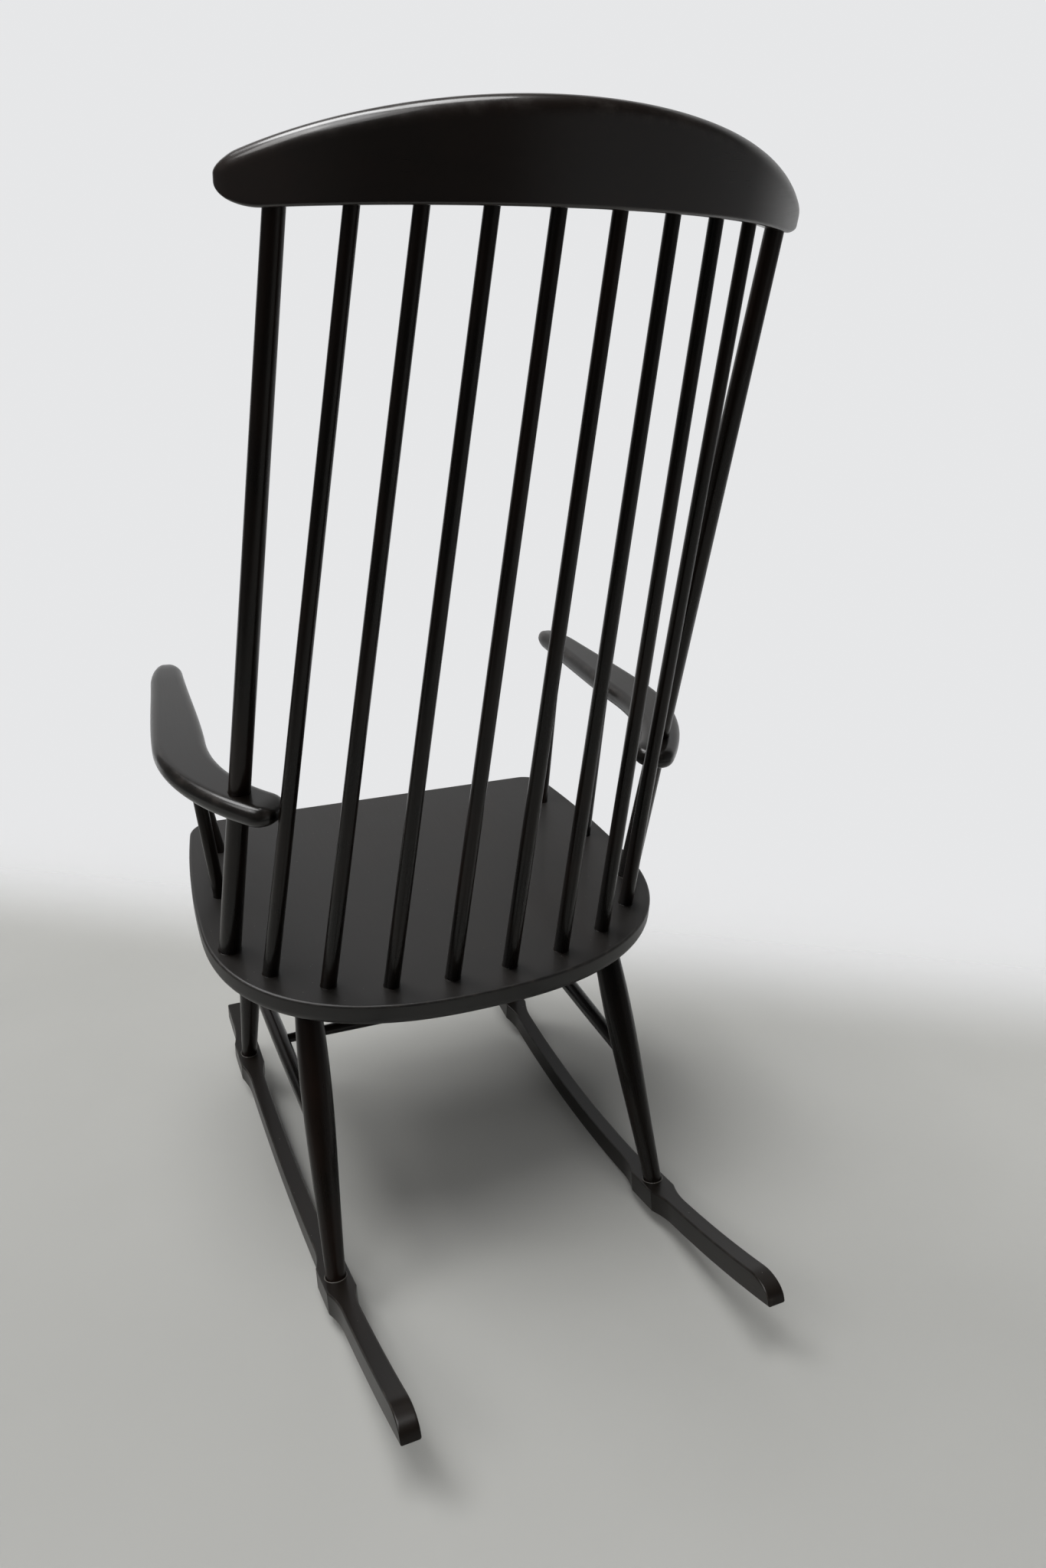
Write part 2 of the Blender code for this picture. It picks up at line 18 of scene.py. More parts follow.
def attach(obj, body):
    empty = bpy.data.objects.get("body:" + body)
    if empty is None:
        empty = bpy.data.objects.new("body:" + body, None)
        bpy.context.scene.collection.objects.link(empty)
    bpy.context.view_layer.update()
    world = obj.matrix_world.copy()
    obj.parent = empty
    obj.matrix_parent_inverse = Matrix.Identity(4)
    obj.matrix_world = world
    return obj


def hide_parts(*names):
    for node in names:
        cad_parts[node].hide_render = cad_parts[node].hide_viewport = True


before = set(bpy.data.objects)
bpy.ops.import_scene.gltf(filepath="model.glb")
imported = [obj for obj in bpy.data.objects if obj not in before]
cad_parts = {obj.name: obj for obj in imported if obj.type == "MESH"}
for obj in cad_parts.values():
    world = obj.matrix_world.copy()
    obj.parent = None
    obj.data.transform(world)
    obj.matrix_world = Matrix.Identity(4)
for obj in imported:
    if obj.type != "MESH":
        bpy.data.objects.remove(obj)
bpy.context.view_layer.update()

print("frame pieces:", len(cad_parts))

# %% [markdown]
# ## Measures
# A chair maker works from a few lines: the tilt of the seat, the recline of the back, the arc
# of the rockers. These are the frame's own measures in metres, with y = 0 at the place where
# the rockers touch the floor. They could be read off the frame's pieces one by one, but named
# lines also say how the pieces depend on each other. MIDDLE moves everything to the middle of
# the frame's box, and HANDS gives the sitter's two sides.

# %% Seat, leg and rocker measures
HANDS = ((1, "left"), (-1, "right"))
UP = Vector((0.0, 0.0, 1.0))
SEAT_HALF_WIDTH = 0.2645
SEAT_FRONT_REACH = 0.2363
SEAT_REAR_REACH = 0.2124
SEAT_NARROWING = 0.0232
SEAT_CORNER = 0.034
SEAT_BACK_POWER = 2.4
SEAT_THICKNESS = 0.028
SEAT_TILT = math.radians(10.35)
SEAT_HEIGHT = 0.3598
SEAT_FORWARD = 0.0323
FRONT_LEG_INSET, FRONT_LEG_SPLAY = 0.079, 0.0918
REAR_LEG_INSET, REAR_LEG_SPLAY = 0.0941, 0.1014
FRONT_LEG_LINE = -SEAT_FRONT_REACH + FRONT_LEG_INSET
REAR_LEG_LINE = SEAT_REAR_REACH - REAR_LEG_INSET
FRONT_FOOT = -SEAT_FORWARD + FRONT_LEG_LINE * math.cos(SEAT_TILT) - FRONT_LEG_SPLAY
REAR_FOOT = -SEAT_FORWARD + REAR_LEG_LINE * math.cos(SEAT_TILT) + REAR_LEG_SPLAY
ROCKER_FRONT_OVERHANG, ROCKER_REAR_OVERHANG = 0.1062, 0.2435
ROCKER_FRONT = FRONT_FOOT - ROCKER_FRONT_OVERHANG
ROCKER_REAR = REAR_FOOT + ROCKER_REAR_OVERHANG
ROCKER_RADIUS = 1.40
ROCKER_WIDTH = 0.0185
ROCKER_DEPTH = 0.0250
ROCKER_HALF_SPACING = 0.1922
ROCKER_TOE_IN = 0.0228
MIDDLE = Vector((0.0, -(ROCKER_FRONT + ROCKER_REAR) / 2, 0.0))
print("middle of the box lies", round(-MIDDLE.y, 5), "behind the rockers' touching place")

# %% Back and arm measures
CREST_HALF_LENGTH = 0.2490
CREST_TIP = 0.0025
CREST_HEIGHT = 0.0615
CREST_TOP_DROP = 0.0580
CREST_LOWER_DROP = 0.0235
CREST_THICKNESS = 0.020
CREST_BEND_RADIUS = 0.310
CREST_RECLINE = math.radians(18.0)
CREST_LOWER_EDGE = 1.0035
CREST_BACK = 0.4000
ARM_THICKNESS = 0.0225
ARM_TILT = math.radians(10.7)
ARM_HEIGHT = 0.573
ARM_BEYOND_POST = 0.0237
ARM_TOE = math.radians(3.2)
ARM_STRAIGHT = 0.2228
ARM_BEND_RADIUS = 0.2171
ARM_BEND = math.radians(44.2)
ARM_LENGTH = ARM_STRAIGHT + ARM_BEND_RADIUS * ARM_BEND
print("arm length along its middle line:", round(ARM_LENGTH, 4))

# %% Places on the tilted seat, the arms, the crest and the rockers
def tilted_point(x, along, up, tilt, height, start=0.0):
    y = start + along * math.cos(tilt) + up * math.sin(tilt)
    z = height - along * math.sin(tilt) + up * math.cos(tilt)
    return Vector((x, y, z)) + MIDDLE


def seat_point(x, along, up=0.0):
    return tilted_point(x, along, up, SEAT_TILT, SEAT_HEIGHT, -SEAT_FORWARD)


def arm_point(x, along, up):
    return tilted_point(x, along, up, ARM_TILT, ARM_HEIGHT)


def crest_point(arc, rise, out=0.0):
    turn = arc / CREST_BEND_RADIUS
    x = (CREST_BEND_RADIUS + out) * math.sin(turn)
    depth = (CREST_BEND_RADIUS + out) * math.cos(turn) - CREST_BEND_RADIUS
    return tilted_point(x, depth, rise, CREST_RECLINE, CREST_LOWER_EDGE, CREST_BACK)


def rocker_point(side, y, up, across=0.0):
    turn = math.asin(y / ROCKER_RADIUS)
    reach = ROCKER_RADIUS - up
    x = side * (ROCKER_HALF_SPACING - ROCKER_TOE_IN * y + across)
    return Vector((x, reach * math.sin(turn), ROCKER_RADIUS - reach * math.cos(turn))) + MIDDLE


print("seat front edge is", round(seat_point(0, -SEAT_FRONT_REACH).z, 3), "m high")

# %% [markdown]
# ## Node arithmetic
# A finish is mostly arithmetic on patterns: this much streak, less where dust lies. Nodes could
# be made and linked one line at a time, but then the formula is lost among the links. One small
# class wraps a socket and lets Python's operators add the Math nodes, so a finish reads like a
# formula. A second class holds a tree and makes every other node through one method.

# %% Value: a socket with operators
class Value:
    def __init__(self, nodes, socket):
        self.nodes = nodes
        self.socket = socket

    def math(self, operation, first, second=0.0):
        return self.nodes.add("ShaderNodeMath", {0: first, 1: second}, operation=operation)

    def __add__(self, other):
        return self.math("ADD", self, other)

    __radd__ = __add__

    def __sub__(self, other):
        return self.math("SUBTRACT", self, other)

    def __rsub__(self, other):
        return self.math("SUBTRACT", other, self)

    def __mul__(self, other):
        return self.math("MULTIPLY", self, other)

    __rmul__ = __mul__

    def __pow__(self, other):
        return self.math("POWER", self, other)

    def __rpow__(self, other):
        return self.math("POWER", other, self)

    def sine(self):
        return self.math("SINE", self)

    def smooth(self, low, high):
        return self.nodes.add("ShaderNodeMapRange",
                              {"Value": self, "From Min": low, "From Max": high},
                              interpolation_type="SMOOTHSTEP")


print("a value can be added, taken away, multiplied, raised, waved and smoothed")

# %% Nodes: a tree, and one method for every node
class Nodes:
    def __init__(self, tree):
        self.tree = tree

    def make(self, kind, sockets=None, **settings):
        made = self.tree.nodes.new(kind)
        for key, value in settings.items():
            setattr(made, key, value)
        for key, value in (sockets or {}).items():
            self.feed(made.inputs[key], value)
        return made

    def add(self, kind, sockets=None, output=0, **settings):
        return Value(self, self.make(kind, sockets, **settings).outputs[output])

    def feed(self, socket, value):
        if isinstance(value, Value):
            self.tree.links.new(value.socket, socket)
        else:
            socket.default_value = value


print("every other node comes from Nodes.make: its settings first, then its sockets")

# %% Finish: a material, or the room's light
class Finish(Nodes):
    def __init__(self, holder, shader="Principled BSDF"):
        holder.use_nodes = True
        super().__init__(holder.node_tree)
        self.holder = holder
        self.shader = self.tree.nodes[shader]

    def shade(self, values):
        for key, value in values.items():
            self.feed(self.shader.inputs[key], value)

    def colours(self, share, first, second):
        # Set to colours, a Mix node takes them at sockets 6 and 7 and gives its result at 2.
        return self.add("ShaderNodeMix", {0: share, 6: first, 7: second}, 2, data_type="RGBA")

    def shaders(self, share, first, second):
        return self.add("ShaderNodeMixShader", {0: share, 1: first, 2: second})

    def stretched(self, place, scale):
        return self.add("ShaderNodeMapping", {"Vector": place, "Scale": scale})

    def noise(self, place, scale, detail=2.0, roughness=0.5):
        return self.add("ShaderNodeTexNoise", {"Vector": place, "Scale": scale,
                                               "Detail": detail, "Roughness": roughness})

    def along(self, place, direction):
        return self.add("ShaderNodeVectorMath", {0: place, 1: direction}, "Value",
                        operation="DOT_PRODUCT")

    def ray(self, kind):
        return self.add("ShaderNodeLightPath", output=kind)


print("a finish can mix colours and shaders, and make noise")

# %% [markdown]
# ## The lacquer
# Black lacquer on wood is never one black. The film is thin, so the wood's fibres show as fine
# ridges under it and a brown warmth comes through in patches. It dries with a faint peel, rubs
# thinner along edges that hands and floors touch, and it shows every grain of dust on faces that
# look up. It could be painted as a picture, but a picture has seams and one size. Noise is worked
# out at any place and never repeats. For it each piece carries an attribute "grain", its own place
# across and along the wood in metres, so that fibres follow a bend. The boards also carry "worn",
# which rises towards 1 in the middle of a rounded edge. A stick has none, and reads it as 0.

# %% Make a lacquer
# How many of each lie side by side in a metre, and how far fibres and bands are drawn out.
FIBRES, BANDS, CLOUDS, PEEL, RUBS, SPECKS = 620.0, 46.0, 11.0, 760.0, 75.0, 150.0
FIBRE_SHAPE, BAND_SHAPE = (1.0, 1.0, 0.035), (1.0, 1.0, 0.12)
RUBBED_COLOUR = (0.060, 0.050, 0.043, 1.0)
DUST_COLOUR = (0.30, 0.29, 0.27, 1.0)
RIDGES = {"Strength": 0.08, "Distance": 0.0004}
FILM_ROUGHNESS = 0.10


def lacquer(name, black, warm, sheen, warmth, wear, dust, gloss, film):
    finish = Finish(bpy.data.materials.new(name))
    grain = finish.add("ShaderNodeAttribute", output="Vector", attribute_name="grain")
    worn = finish.add("ShaderNodeAttribute", output="Fac", attribute_name="worn")
    facing = finish.add("ShaderNodeNewGeometry", output="Normal")
    up = finish.add("ShaderNodeSeparateXYZ", {0: facing}, "Z")

    fibre = finish.noise(finish.stretched(grain, FIBRE_SHAPE), FIBRES, detail=3.0, roughness=0.6)
    band = finish.noise(finish.stretched(grain, BAND_SHAPE), BANDS)
    cloud = finish.noise(grain, CLOUDS, detail=3.0)
    peel = finish.noise(grain, PEEL, detail=1.0)

    # Edges rub through in broken patches, and a few specks of dust lie on faces that look up.
    rubbed = worn * finish.noise(grain, RUBS, detail=4.0, roughness=0.65).smooth(0.42, 0.72)
    cell, spot = [finish.add("ShaderNodeTexVoronoi", {"Vector": grain, "Scale": SPECKS}, output)
                  for output in ("Distance", "Color")]
    chance = finish.add("ShaderNodeSeparateColor", {0: spot}, "Red")
    speck = (1.0 - cell.smooth(0.03, 0.07)) * chance.smooth(0.90, 0.97) * up.smooth(0.2, 0.8)

    # Clouds and bands let the warm wood through; rubbed edges and dust are paler.
    tint = (cloud.smooth(0.38, 0.70) * 0.65 + band.smooth(0.40, 0.75) * 0.35) * warmth
    colour = finish.colours(tint, black, warm)
    colour = finish.colours(rubbed * wear, colour, RUBBED_COLOUR)
    colour = finish.colours(speck * dust, colour, DUST_COLOUR)

    # Clouds and fibres vary the sheen, and fibres and peel raise fine ridges.
    rough = sheen + (cloud - 0.5) * 0.14 + (fibre - 0.5) * 0.10 + rubbed * 0.10 + speck * 0.3
    height = fibre * 0.45 + peel * 0.45 + band * 0.1
    bump = finish.add("ShaderNodeBump", {**RIDGES, "Height": height})
    finish.shade({"Base Color": colour, "Roughness": rough, "Normal": bump,
                  "Specular IOR Level": gloss, "Coat Weight": film,
                  "Coat Roughness": FILM_ROUGHNESS})
    print("finish:", name, "with", len(finish.tree.nodes), "nodes")
    return finish.holder


print("fibres in a metre:", FIBRES, "bands in a metre:", BANDS)

# %% Mix a lacquer for each kind of piece
seat_lacquer = lacquer(
    "seat_lacquer", black=(0.0050, 0.0041, 0.0034, 1.0), warm=(0.0085, 0.0058, 0.0044, 1.0),
    sheen=0.46, warmth=0.50, wear=0.35, dust=0.6, gloss=0.46, film=0.10)
crest_lacquer = lacquer(
    "crest_lacquer", black=(0.0080, 0.0044, 0.0026, 1.0), warm=(0.0150, 0.0066, 0.0036, 1.0),
    sheen=0.31, warmth=0.60, wear=0.35, dust=0.5, gloss=0.37, film=0.65)
arm_lacquer = lacquer(
    "arm_lacquer", black=(0.0050, 0.0041, 0.0034, 1.0), warm=(0.0090, 0.0060, 0.0045, 1.0),
    sheen=0.33, warmth=0.50, wear=0.35, dust=0.5, gloss=0.24, film=0.40)
turned_lacquer = lacquer(
    "turned_lacquer", black=(0.0040, 0.0031, 0.0023, 1.0), warm=(0.0120, 0.0056, 0.0034, 1.0),
    sheen=0.29, warmth=0.80, wear=0.25, dust=0.4, gloss=0.16, film=0.16)
rocker_lacquer = lacquer(
    "rocker_lacquer", black=(0.0052, 0.0040, 0.0031, 1.0), warm=(0.0095, 0.0066, 0.0050, 1.0),
    sheen=0.37, warmth=0.70, wear=0.50, dust=0.9, gloss=0.21, film=0.10)
# The rims at the leg feet get a pale colour: a painted highlight, the bright line round each foot.
rim_painted_highlight = lacquer(
    "rim_painted_highlight", black=(0.060, 0.056, 0.050, 1.0), warm=(0.120, 0.111, 0.098, 1.0),
    sheen=0.40, warmth=0.80, wear=0.60, dust=0.3, gloss=0.40, film=0.20)

# %% [markdown]
# ## Turned sticks
# Spindles, posts, legs and stretchers all come off the same lathe: a straight axis and a radius
# that changes along it. They could be modelled one by one, but they follow one rule, so one
# Geometry Nodes tree makes them all from a start, an end and a few radii. The stick is built
# standing at the origin, where its own place is stored as "grain", and then laid on its axis.

# %% Shape: a Geometry Nodes tree with named inputs
class Shape(Nodes):
    def __init__(self, name, inputs):
        super().__init__(bpy.data.node_groups.new(name, "GeometryNodeTree"))
        self.tree.is_modifier = True
        sockets = [("Geometry", "INPUT", "Geometry"), ("Geometry", "OUTPUT", "Geometry")]
        sockets += [(key, "INPUT", kind) for key, kind in inputs.items()]
        for key, way, kind in sockets:
            self.tree.interface.new_socket(key, in_out=way, socket_type="NodeSocket" + kind)
        group_input = self.make("NodeGroupInput")
        self.given = {socket.name: Value(self, socket) for socket in group_input.outputs}

    def with_grain(self, geometry, place):
        return self.add("GeometryNodeStoreNamedAttribute",
                        {"Geometry": geometry, "Name": "grain", "Value": place},
                        data_type="FLOAT_VECTOR", domain="POINT")

    def lacquered(self, geometry):
        geometry = self.add("GeometryNodeSetShadeSmooth", {"Geometry": geometry})
        geometry = self.add("GeometryNodeRealizeInstances", {"Geometry": geometry})
        geometry = self.add("GeometryNodeSetMaterial",
                            {"Geometry": geometry, "Material": self.given["Lacquer"]})
        self.make("NodeGroupOutput", {0: geometry})
        print("tree:", self.tree.name, "with", len(self.tree.nodes), "nodes")
        return self.tree


print("a shape takes named inputs and ends in plain lacquered faces")

# %% The lathe tree
def lathe_tree():
    shape = Shape("lathe", {
        "Start": "Vector", "End": "Vector", "Foot radius": "Float", "Head radius": "Float",
        "Swelling": "Float", "Swelling power": "Float", "Rings": "Int", "Sides": "Int",
        "Grain shift": "Vector", "Lacquer": "Material"})
    given = shape.given
    run = shape.add("ShaderNodeVectorMath", {0: given["End"], 1: given["Start"]},
                    operation="SUBTRACT")
    length = shape.add("ShaderNodeVectorMath", {0: run}, "Value", operation="LENGTH")
    top = shape.add("ShaderNodeCombineXYZ", {"Z": length})
    line = shape.add("GeometryNodeCurvePrimitiveLine", {"End": top})
    line = shape.add("GeometryNodeResampleCurve", {"Curve": line, "Count": given["Rings"]})
    share = shape.add("GeometryNodeSplineParameter")
    taper = shape.add("ShaderNodeMapRange", {"Value": share, "To Min": given["Foot radius"],
                                             "To Max": given["Head radius"]})
    wave = (share ** given["Swelling power"] * math.pi).sine()
    ring = shape.add("GeometryNodeCurvePrimitiveCircle",
                     {"Resolution": given["Sides"], "Radius": 1.0})
    stick = shape.add("GeometryNodeCurveToMesh",
                      {"Curve": line, "Profile Curve": ring, "Fill Caps": True,
                       "Scale": taper + wave * given["Swelling"]})
    place = shape.add("ShaderNodeVectorMath", {0: shape.add("GeometryNodeInputPosition"),
                                               1: given["Grain shift"]}, operation="ADD")
    stick = shape.with_grain(stick, place)
    lean = shape.add("FunctionNodeAlignRotationToVector", {"Vector": run}, axis="Z")
    stick = shape.add("GeometryNodeTransform", {"Geometry": stick, "Rotation": lean,
                                                "Translation": given["Start"]})
    return shape.lacquered(stick)


lathe = lathe_tree()

# %% From a tree to a plain mesh
def add_object(name, data):
    made = bpy.data.objects.new(name, data)
    bpy.context.scene.collection.objects.link(made)
    return made


def plain_mesh(thing):
    bpy.context.view_layer.update()
    graph = bpy.context.evaluated_depsgraph_get()
    return bpy.data.meshes.new_from_object(thing.evaluated_get(graph), depsgraph=graph)


def run_tree(tree, mesh, values):
    blank = add_object("blank", mesh)
    modifier = blank.modifiers.new(tree.name, "NODES")
    modifier.node_group = tree
    # Inputs go in by identifier, not by name, and before the first evaluation.
    for item in tree.interface.items_tree:
        if item.in_out == "INPUT" and item.name in values:
            modifier[item.identifier] = values[item.name]
    made = plain_mesh(blank)
    bpy.data.objects.remove(blank)
    return made


print("inputs of the lathe:", [item.name for item in lathe.interface.items_tree])

# %% Turn one stick
RINGS, SIDES = 40, 48
TENON = 0.012
GRAIN_STEP = (0.37, 0.21, 0.53)


class Stick:
    made = 0

    def __init__(self, name, start, end, foot, head, swelling=0.0, widest=0.5,
                 tenons=(TENON, TENON)):
        self.name = name
        self.start = start
        self.end = end
        self.foot = foot
        self.head = head
        self.swelling = swelling
        # The swelling is fullest where a share of the length, raised to this power, is a half.
        self.power = math.log(0.5) / math.log(widest)
        self.axis = (end - start).normalized()
        self.length = (end - start).length
        self.tenons = tenons

    def at(self, share):
        return self.start.lerp(self.end, share)

    def radius(self, share):
        share = min(max(share, 0.0), 1.0)
        wave = math.sin(math.pi * share ** self.power)
        return self.foot + (self.head - self.foot) * share + self.swelling * wave

    def build(self):
        Stick.made += 1
        mesh = run_tree(lathe, bpy.data.meshes.new("blank"), {
            "Start": self.start - self.axis * self.tenons[0],
            "End": self.end + self.axis * self.tenons[1],
            "Foot radius": self.foot, "Head radius": self.head, "Swelling": self.swelling,
            "Swelling power": self.power, "Rings": RINGS, "Sides": SIDES,
            "Grain shift": [step * Stick.made for step in GRAIN_STEP],
            "Lacquer": turned_lacquer})
        bm = bmesh.new()
        bm.from_mesh(mesh)
        bmesh.ops.recalc_face_normals(bm, faces=bm.faces)
        bm.to_mesh(mesh)
        bm.free()
        mesh.name = "turned_" + self.name
        return add_object(mesh.name, mesh)


print("a stick has", RINGS, "rings of", SIDES, "points")

# %% [markdown]
# ## The back
# Eight thin spindles stand between two thicker outer posts. Their feet follow the round back of
# the seat at even steps, and their heads enter the lower edge of the crest rail closer together,
# so the back narrows and opens like a fan. All of them taper upwards. Their places could be typed
# in one by one. Walking along the seat's own curve keeps the steps even and the feet on the board.

# %% Feet along the round back of the seat
SPINDLES_PER_SIDE = 4


def super_arc(half_width, reach, share):
    turn = share * math.pi / 2
    power = 2 / SEAT_BACK_POWER
    return (half_width * math.cos(turn) ** power, reach * math.sin(turn) ** power)


def back_feet(count, step=0.0645, side_inset=0.0149, rear_inset=0.0353, forward=0.0187, fine=4000):
    half_width = SEAT_HALF_WIDTH - side_inset
    reach = SEAT_REAR_REACH - rear_inset + forward
    run = [super_arc(half_width, reach, 1 - i / fine) for i in range(fine + 1)]
    feet = []
    walked = 0.0
    for before, after in zip(run, run[1:]):
        walked += math.dist(before, after)
        if len(feet) < count and walked >= step * (len(feet) + 0.5):
            feet.append((after[0], after[1] - forward))
    return feet


*spindle_feet, post_foot = back_feet(SPINDLES_PER_SIDE + 1)
print("the outer post stands", round(post_foot[0], 3), "m from the middle")

# %% Where the back's sticks stand
HEAD_STEP, POST_HEAD_STEP = 0.0448, 0.0525
SPINDLE_FOOT, SPINDLE_HEAD = 0.0084, 0.0055
POST_FOOT, POST_HEAD = 0.0118, 0.0077


def crest_lower(arc):
    return -CREST_LOWER_DROP * (arc / CREST_HALF_LENGTH) ** 2


def back_stick(name, side, foot, arc, foot_radius, head_radius):
    head = crest_point(side * arc, crest_lower(arc))
    return Stick(name, seat_point(side * foot[0], foot[1]), head, foot_radius, head_radius)


back = {}
for side, word in HANDS:
    back[word] = [back_stick("spindle_%s_%d" % (word, i + 1), side, foot, HEAD_STEP * (i + 0.5),
                             SPINDLE_FOOT, SPINDLE_HEAD) for i, foot in enumerate(spindle_feet)]
    back[word].append(back_stick("back_post_" + word, side, post_foot,
                                 HEAD_STEP * (SPINDLES_PER_SIDE - 0.5) + POST_HEAD_STEP,
                                 POST_FOOT, POST_HEAD))
print("back sticks:", [stick.name for stick in back["left"]])

# %% [markdown]
# ## Arms, legs and stretchers: where they stand
# The arm is straight in front and bends inwards behind, where the outer post of the back goes
# through it. So the arm is placed from that post. Two thin posts lean outwards from the seat to
# its underside. The legs splay from the seat to the rockers and swell above their middle; a bar
# joins the legs of each side and a thinner bar joins those two. Each end is taken from the piece
# that holds it, not typed in, so that everything still meets when a measure changes.

# %% The arm's middle line
def arm_run(distance):
    shift = min(distance, ARM_STRAIGHT) * Vector((math.sin(ARM_TOE), math.cos(ARM_TOE)))
    heading = ARM_TOE - max(distance - ARM_STRAIGHT, 0.0) / ARM_BEND_RADIUS
    shift.x += ARM_BEND_RADIUS * (math.cos(heading) - math.cos(ARM_TOE))
    shift.y += ARM_BEND_RADIUS * (math.sin(ARM_TOE) - math.sin(heading))
    return shift, heading


def arm_front(post):
    normal = Vector((0.0, math.sin(ARM_TILT), math.cos(ARM_TILT)))
    start, end = post.start - MIDDLE, post.end - MIDDLE
    share = (ARM_HEIGHT * math.cos(ARM_TILT) - start.dot(normal)) / (end - start).dot(normal)
    through = start.lerp(end, share)
    run_to_post, heading = arm_run(ARM_LENGTH - ARM_BEYOND_POST)
    return Vector((abs(through.x), through.y / math.cos(ARM_TILT))) - run_to_post


ARM_START = arm_front(back["left"][-1])
print("the arms start", round(ARM_START.x, 3), "m from the middle")

# %% The arm posts
ARM_POST_RADIUS, ARM_POST_TENON = 0.0072, 0.0095
ARM_POST_STEP = 0.1027
# Place along the seat, inset from its side, place along the arm, inset from its middle line.
ARM_POSTS = {"front": (FRONT_LEG_LINE, 0.0362, 0.0369, 0.0030),
             "rear": (FRONT_LEG_LINE + ARM_POST_STEP, 0.0296, 0.1745, 0.0100)}


def seat_half_width(along):
    return SEAT_HALF_WIDTH - SEAT_NARROWING * (along / SEAT_FRONT_REACH) ** 2


def arm_post(name, side, along, seat_inset, distance, arm_inset):
    shift, heading = arm_run(distance)
    over = ARM_START + shift + arm_inset * Vector((-math.cos(heading), math.sin(heading)))
    return Stick(name, seat_point(side * (seat_half_width(along) - seat_inset), along),
                 arm_point(side * over.x, over.y, -ARM_THICKNESS),
                 ARM_POST_RADIUS, ARM_POST_RADIUS, tenons=(TENON, ARM_POST_TENON))


arm_posts = {word: [arm_post("arm_post_%s_%s" % (which, word), side, *places)
                    for which, places in ARM_POSTS.items()] for side, word in HANDS}
print("arm posts:", [round(stick.length, 3) for stick in arm_posts["left"]])

# %% Legs and stretchers
LEG_FOOT, LEG_HEAD, LEG_SWELLING, LEG_WIDEST = 0.0102, 0.0120, 0.0050, 0.64
FRONT_LEG_HALF_SPACING, REAR_LEG_HALF_SPACING = 0.1804, 0.1742
SIDE_BAR_UP, SIDE_BAR_END, SIDE_BAR_MIDDLE = 0.4875, 0.0078, 0.0095
CROSS_BAR_ALONG, CROSS_BAR_END, CROSS_BAR_MIDDLE = 0.4918, 0.0052, 0.0078
BAR_SHORT = 0.002


def leg(name, side, foot_y, half_spacing, along):
    foot = rocker_point(side, foot_y, ROCKER_DEPTH)
    head = seat_point(side * half_spacing, along, -SEAT_THICKNESS)
    return Stick(name, foot, head, LEG_FOOT, LEG_HEAD, LEG_SWELLING, LEG_WIDEST)


def stretcher(name, first, second, share, ends, middle):
    start, end = first.at(share), second.at(share)
    run = (end - start).normalized() * BAR_SHORT
    return Stick(name, start + run, end - run, ends, ends, middle - ends, tenons=(0.0, 0.0))


legs = {}
bars = {}
for side, word in HANDS:
    legs[word] = [
        leg("leg_front_" + word, side, FRONT_FOOT, FRONT_LEG_HALF_SPACING, FRONT_LEG_LINE),
        leg("leg_rear_" + word, side, REAR_FOOT, REAR_LEG_HALF_SPACING, REAR_LEG_LINE)]
    bars[word] = stretcher("side_stretcher_" + word, *legs[word],
                           SIDE_BAR_UP, SIDE_BAR_END, SIDE_BAR_MIDDLE)
cross = stretcher("cross_stretcher", bars["left"], bars["right"],
                  CROSS_BAR_ALONG, CROSS_BAR_END, CROSS_BAR_MIDDLE)
print("legs:", [round(stick.length, 3) for stick in legs["left"]])

# %% Turn them all
pieces = {}
for word in back:
    for stick in back[word] + arm_posts[word] + legs[word] + [bars[word]]:
        pieces[stick.name] = stick.build()
pieces[cross.name] = cross.build()
faces = sum(len(piece.data.polygons) for piece in pieces.values())
print("turned sticks:", len(pieces), "with", faces, "faces")

# %% [markdown]
# ## Boards: sections along a line
# The crest, the arms and the rockers are bars whose section changes along a bent line. A bevelled
# and bent block would round every edge alike, so a bar is skinned from rings instead: each ring is
# a rounded section set across the line. Every ring point also carries its place in the wood and
# how far it lies on a rounded edge, for the lacquer. A row of points just inside each flat, the
# guard, keeps the flats truly flat where light slides over them.

# %% Rounded sections
STEPS = 8
GUARD, GUARD_SHARE = 0.0010, 0.4
# A tip stops short of a full quarter and closes in a small flat face, not in a point.
TIP_TURN = math.radians(86.0)


def quarter_turn(steps):
    return [math.pi / 2 * i / steps for i in range(steps + 1)]


def tip_turns(count):
    return [TIP_TURN * (i + 1) / count for i in range(count)]


def round_share(from_end, tip):
    inside = max(1 - from_end / tip, 0.0)
    return math.sqrt(max(1 - inside * inside, 0.0))


def rounded_section(low, high, half_thickness, low_round, high_round, stretch=1.0):
    section = []
    for end, sign, size, tall in ((low, -1, low_round, low_round),
                                  (high, 1, high_round, high_round * stretch)):
        guard = min(GUARD, size * GUARD_SHARE)
        for side in (-sign, sign):
            row = [(end, side * (half_thickness - size - guard), 0.0)]
            for angle in quarter_turn(STEPS):
                height = end - sign * tall * (1 - math.cos(angle))
                offset = side * (half_thickness - size * (1 - math.sin(angle)))
                row.append((height, offset, math.sin(2 * angle)))
            row.append((end - sign * (tall + guard), side * half_thickness, 0.0))
            section += row if side == sign else row[::-1]
    return section


print("a rounded section has", len(rounded_section(0.0, 0.1, 0.02, 0.005, 0.005)), "points")

# %% Skin a board
def to_mesh(bm, name, smooth=True):
    mesh = bpy.data.meshes.new(name)
    bm.to_mesh(mesh)
    bm.free()
    for face in mesh.polygons:
        face.use_smooth = smooth
    return mesh


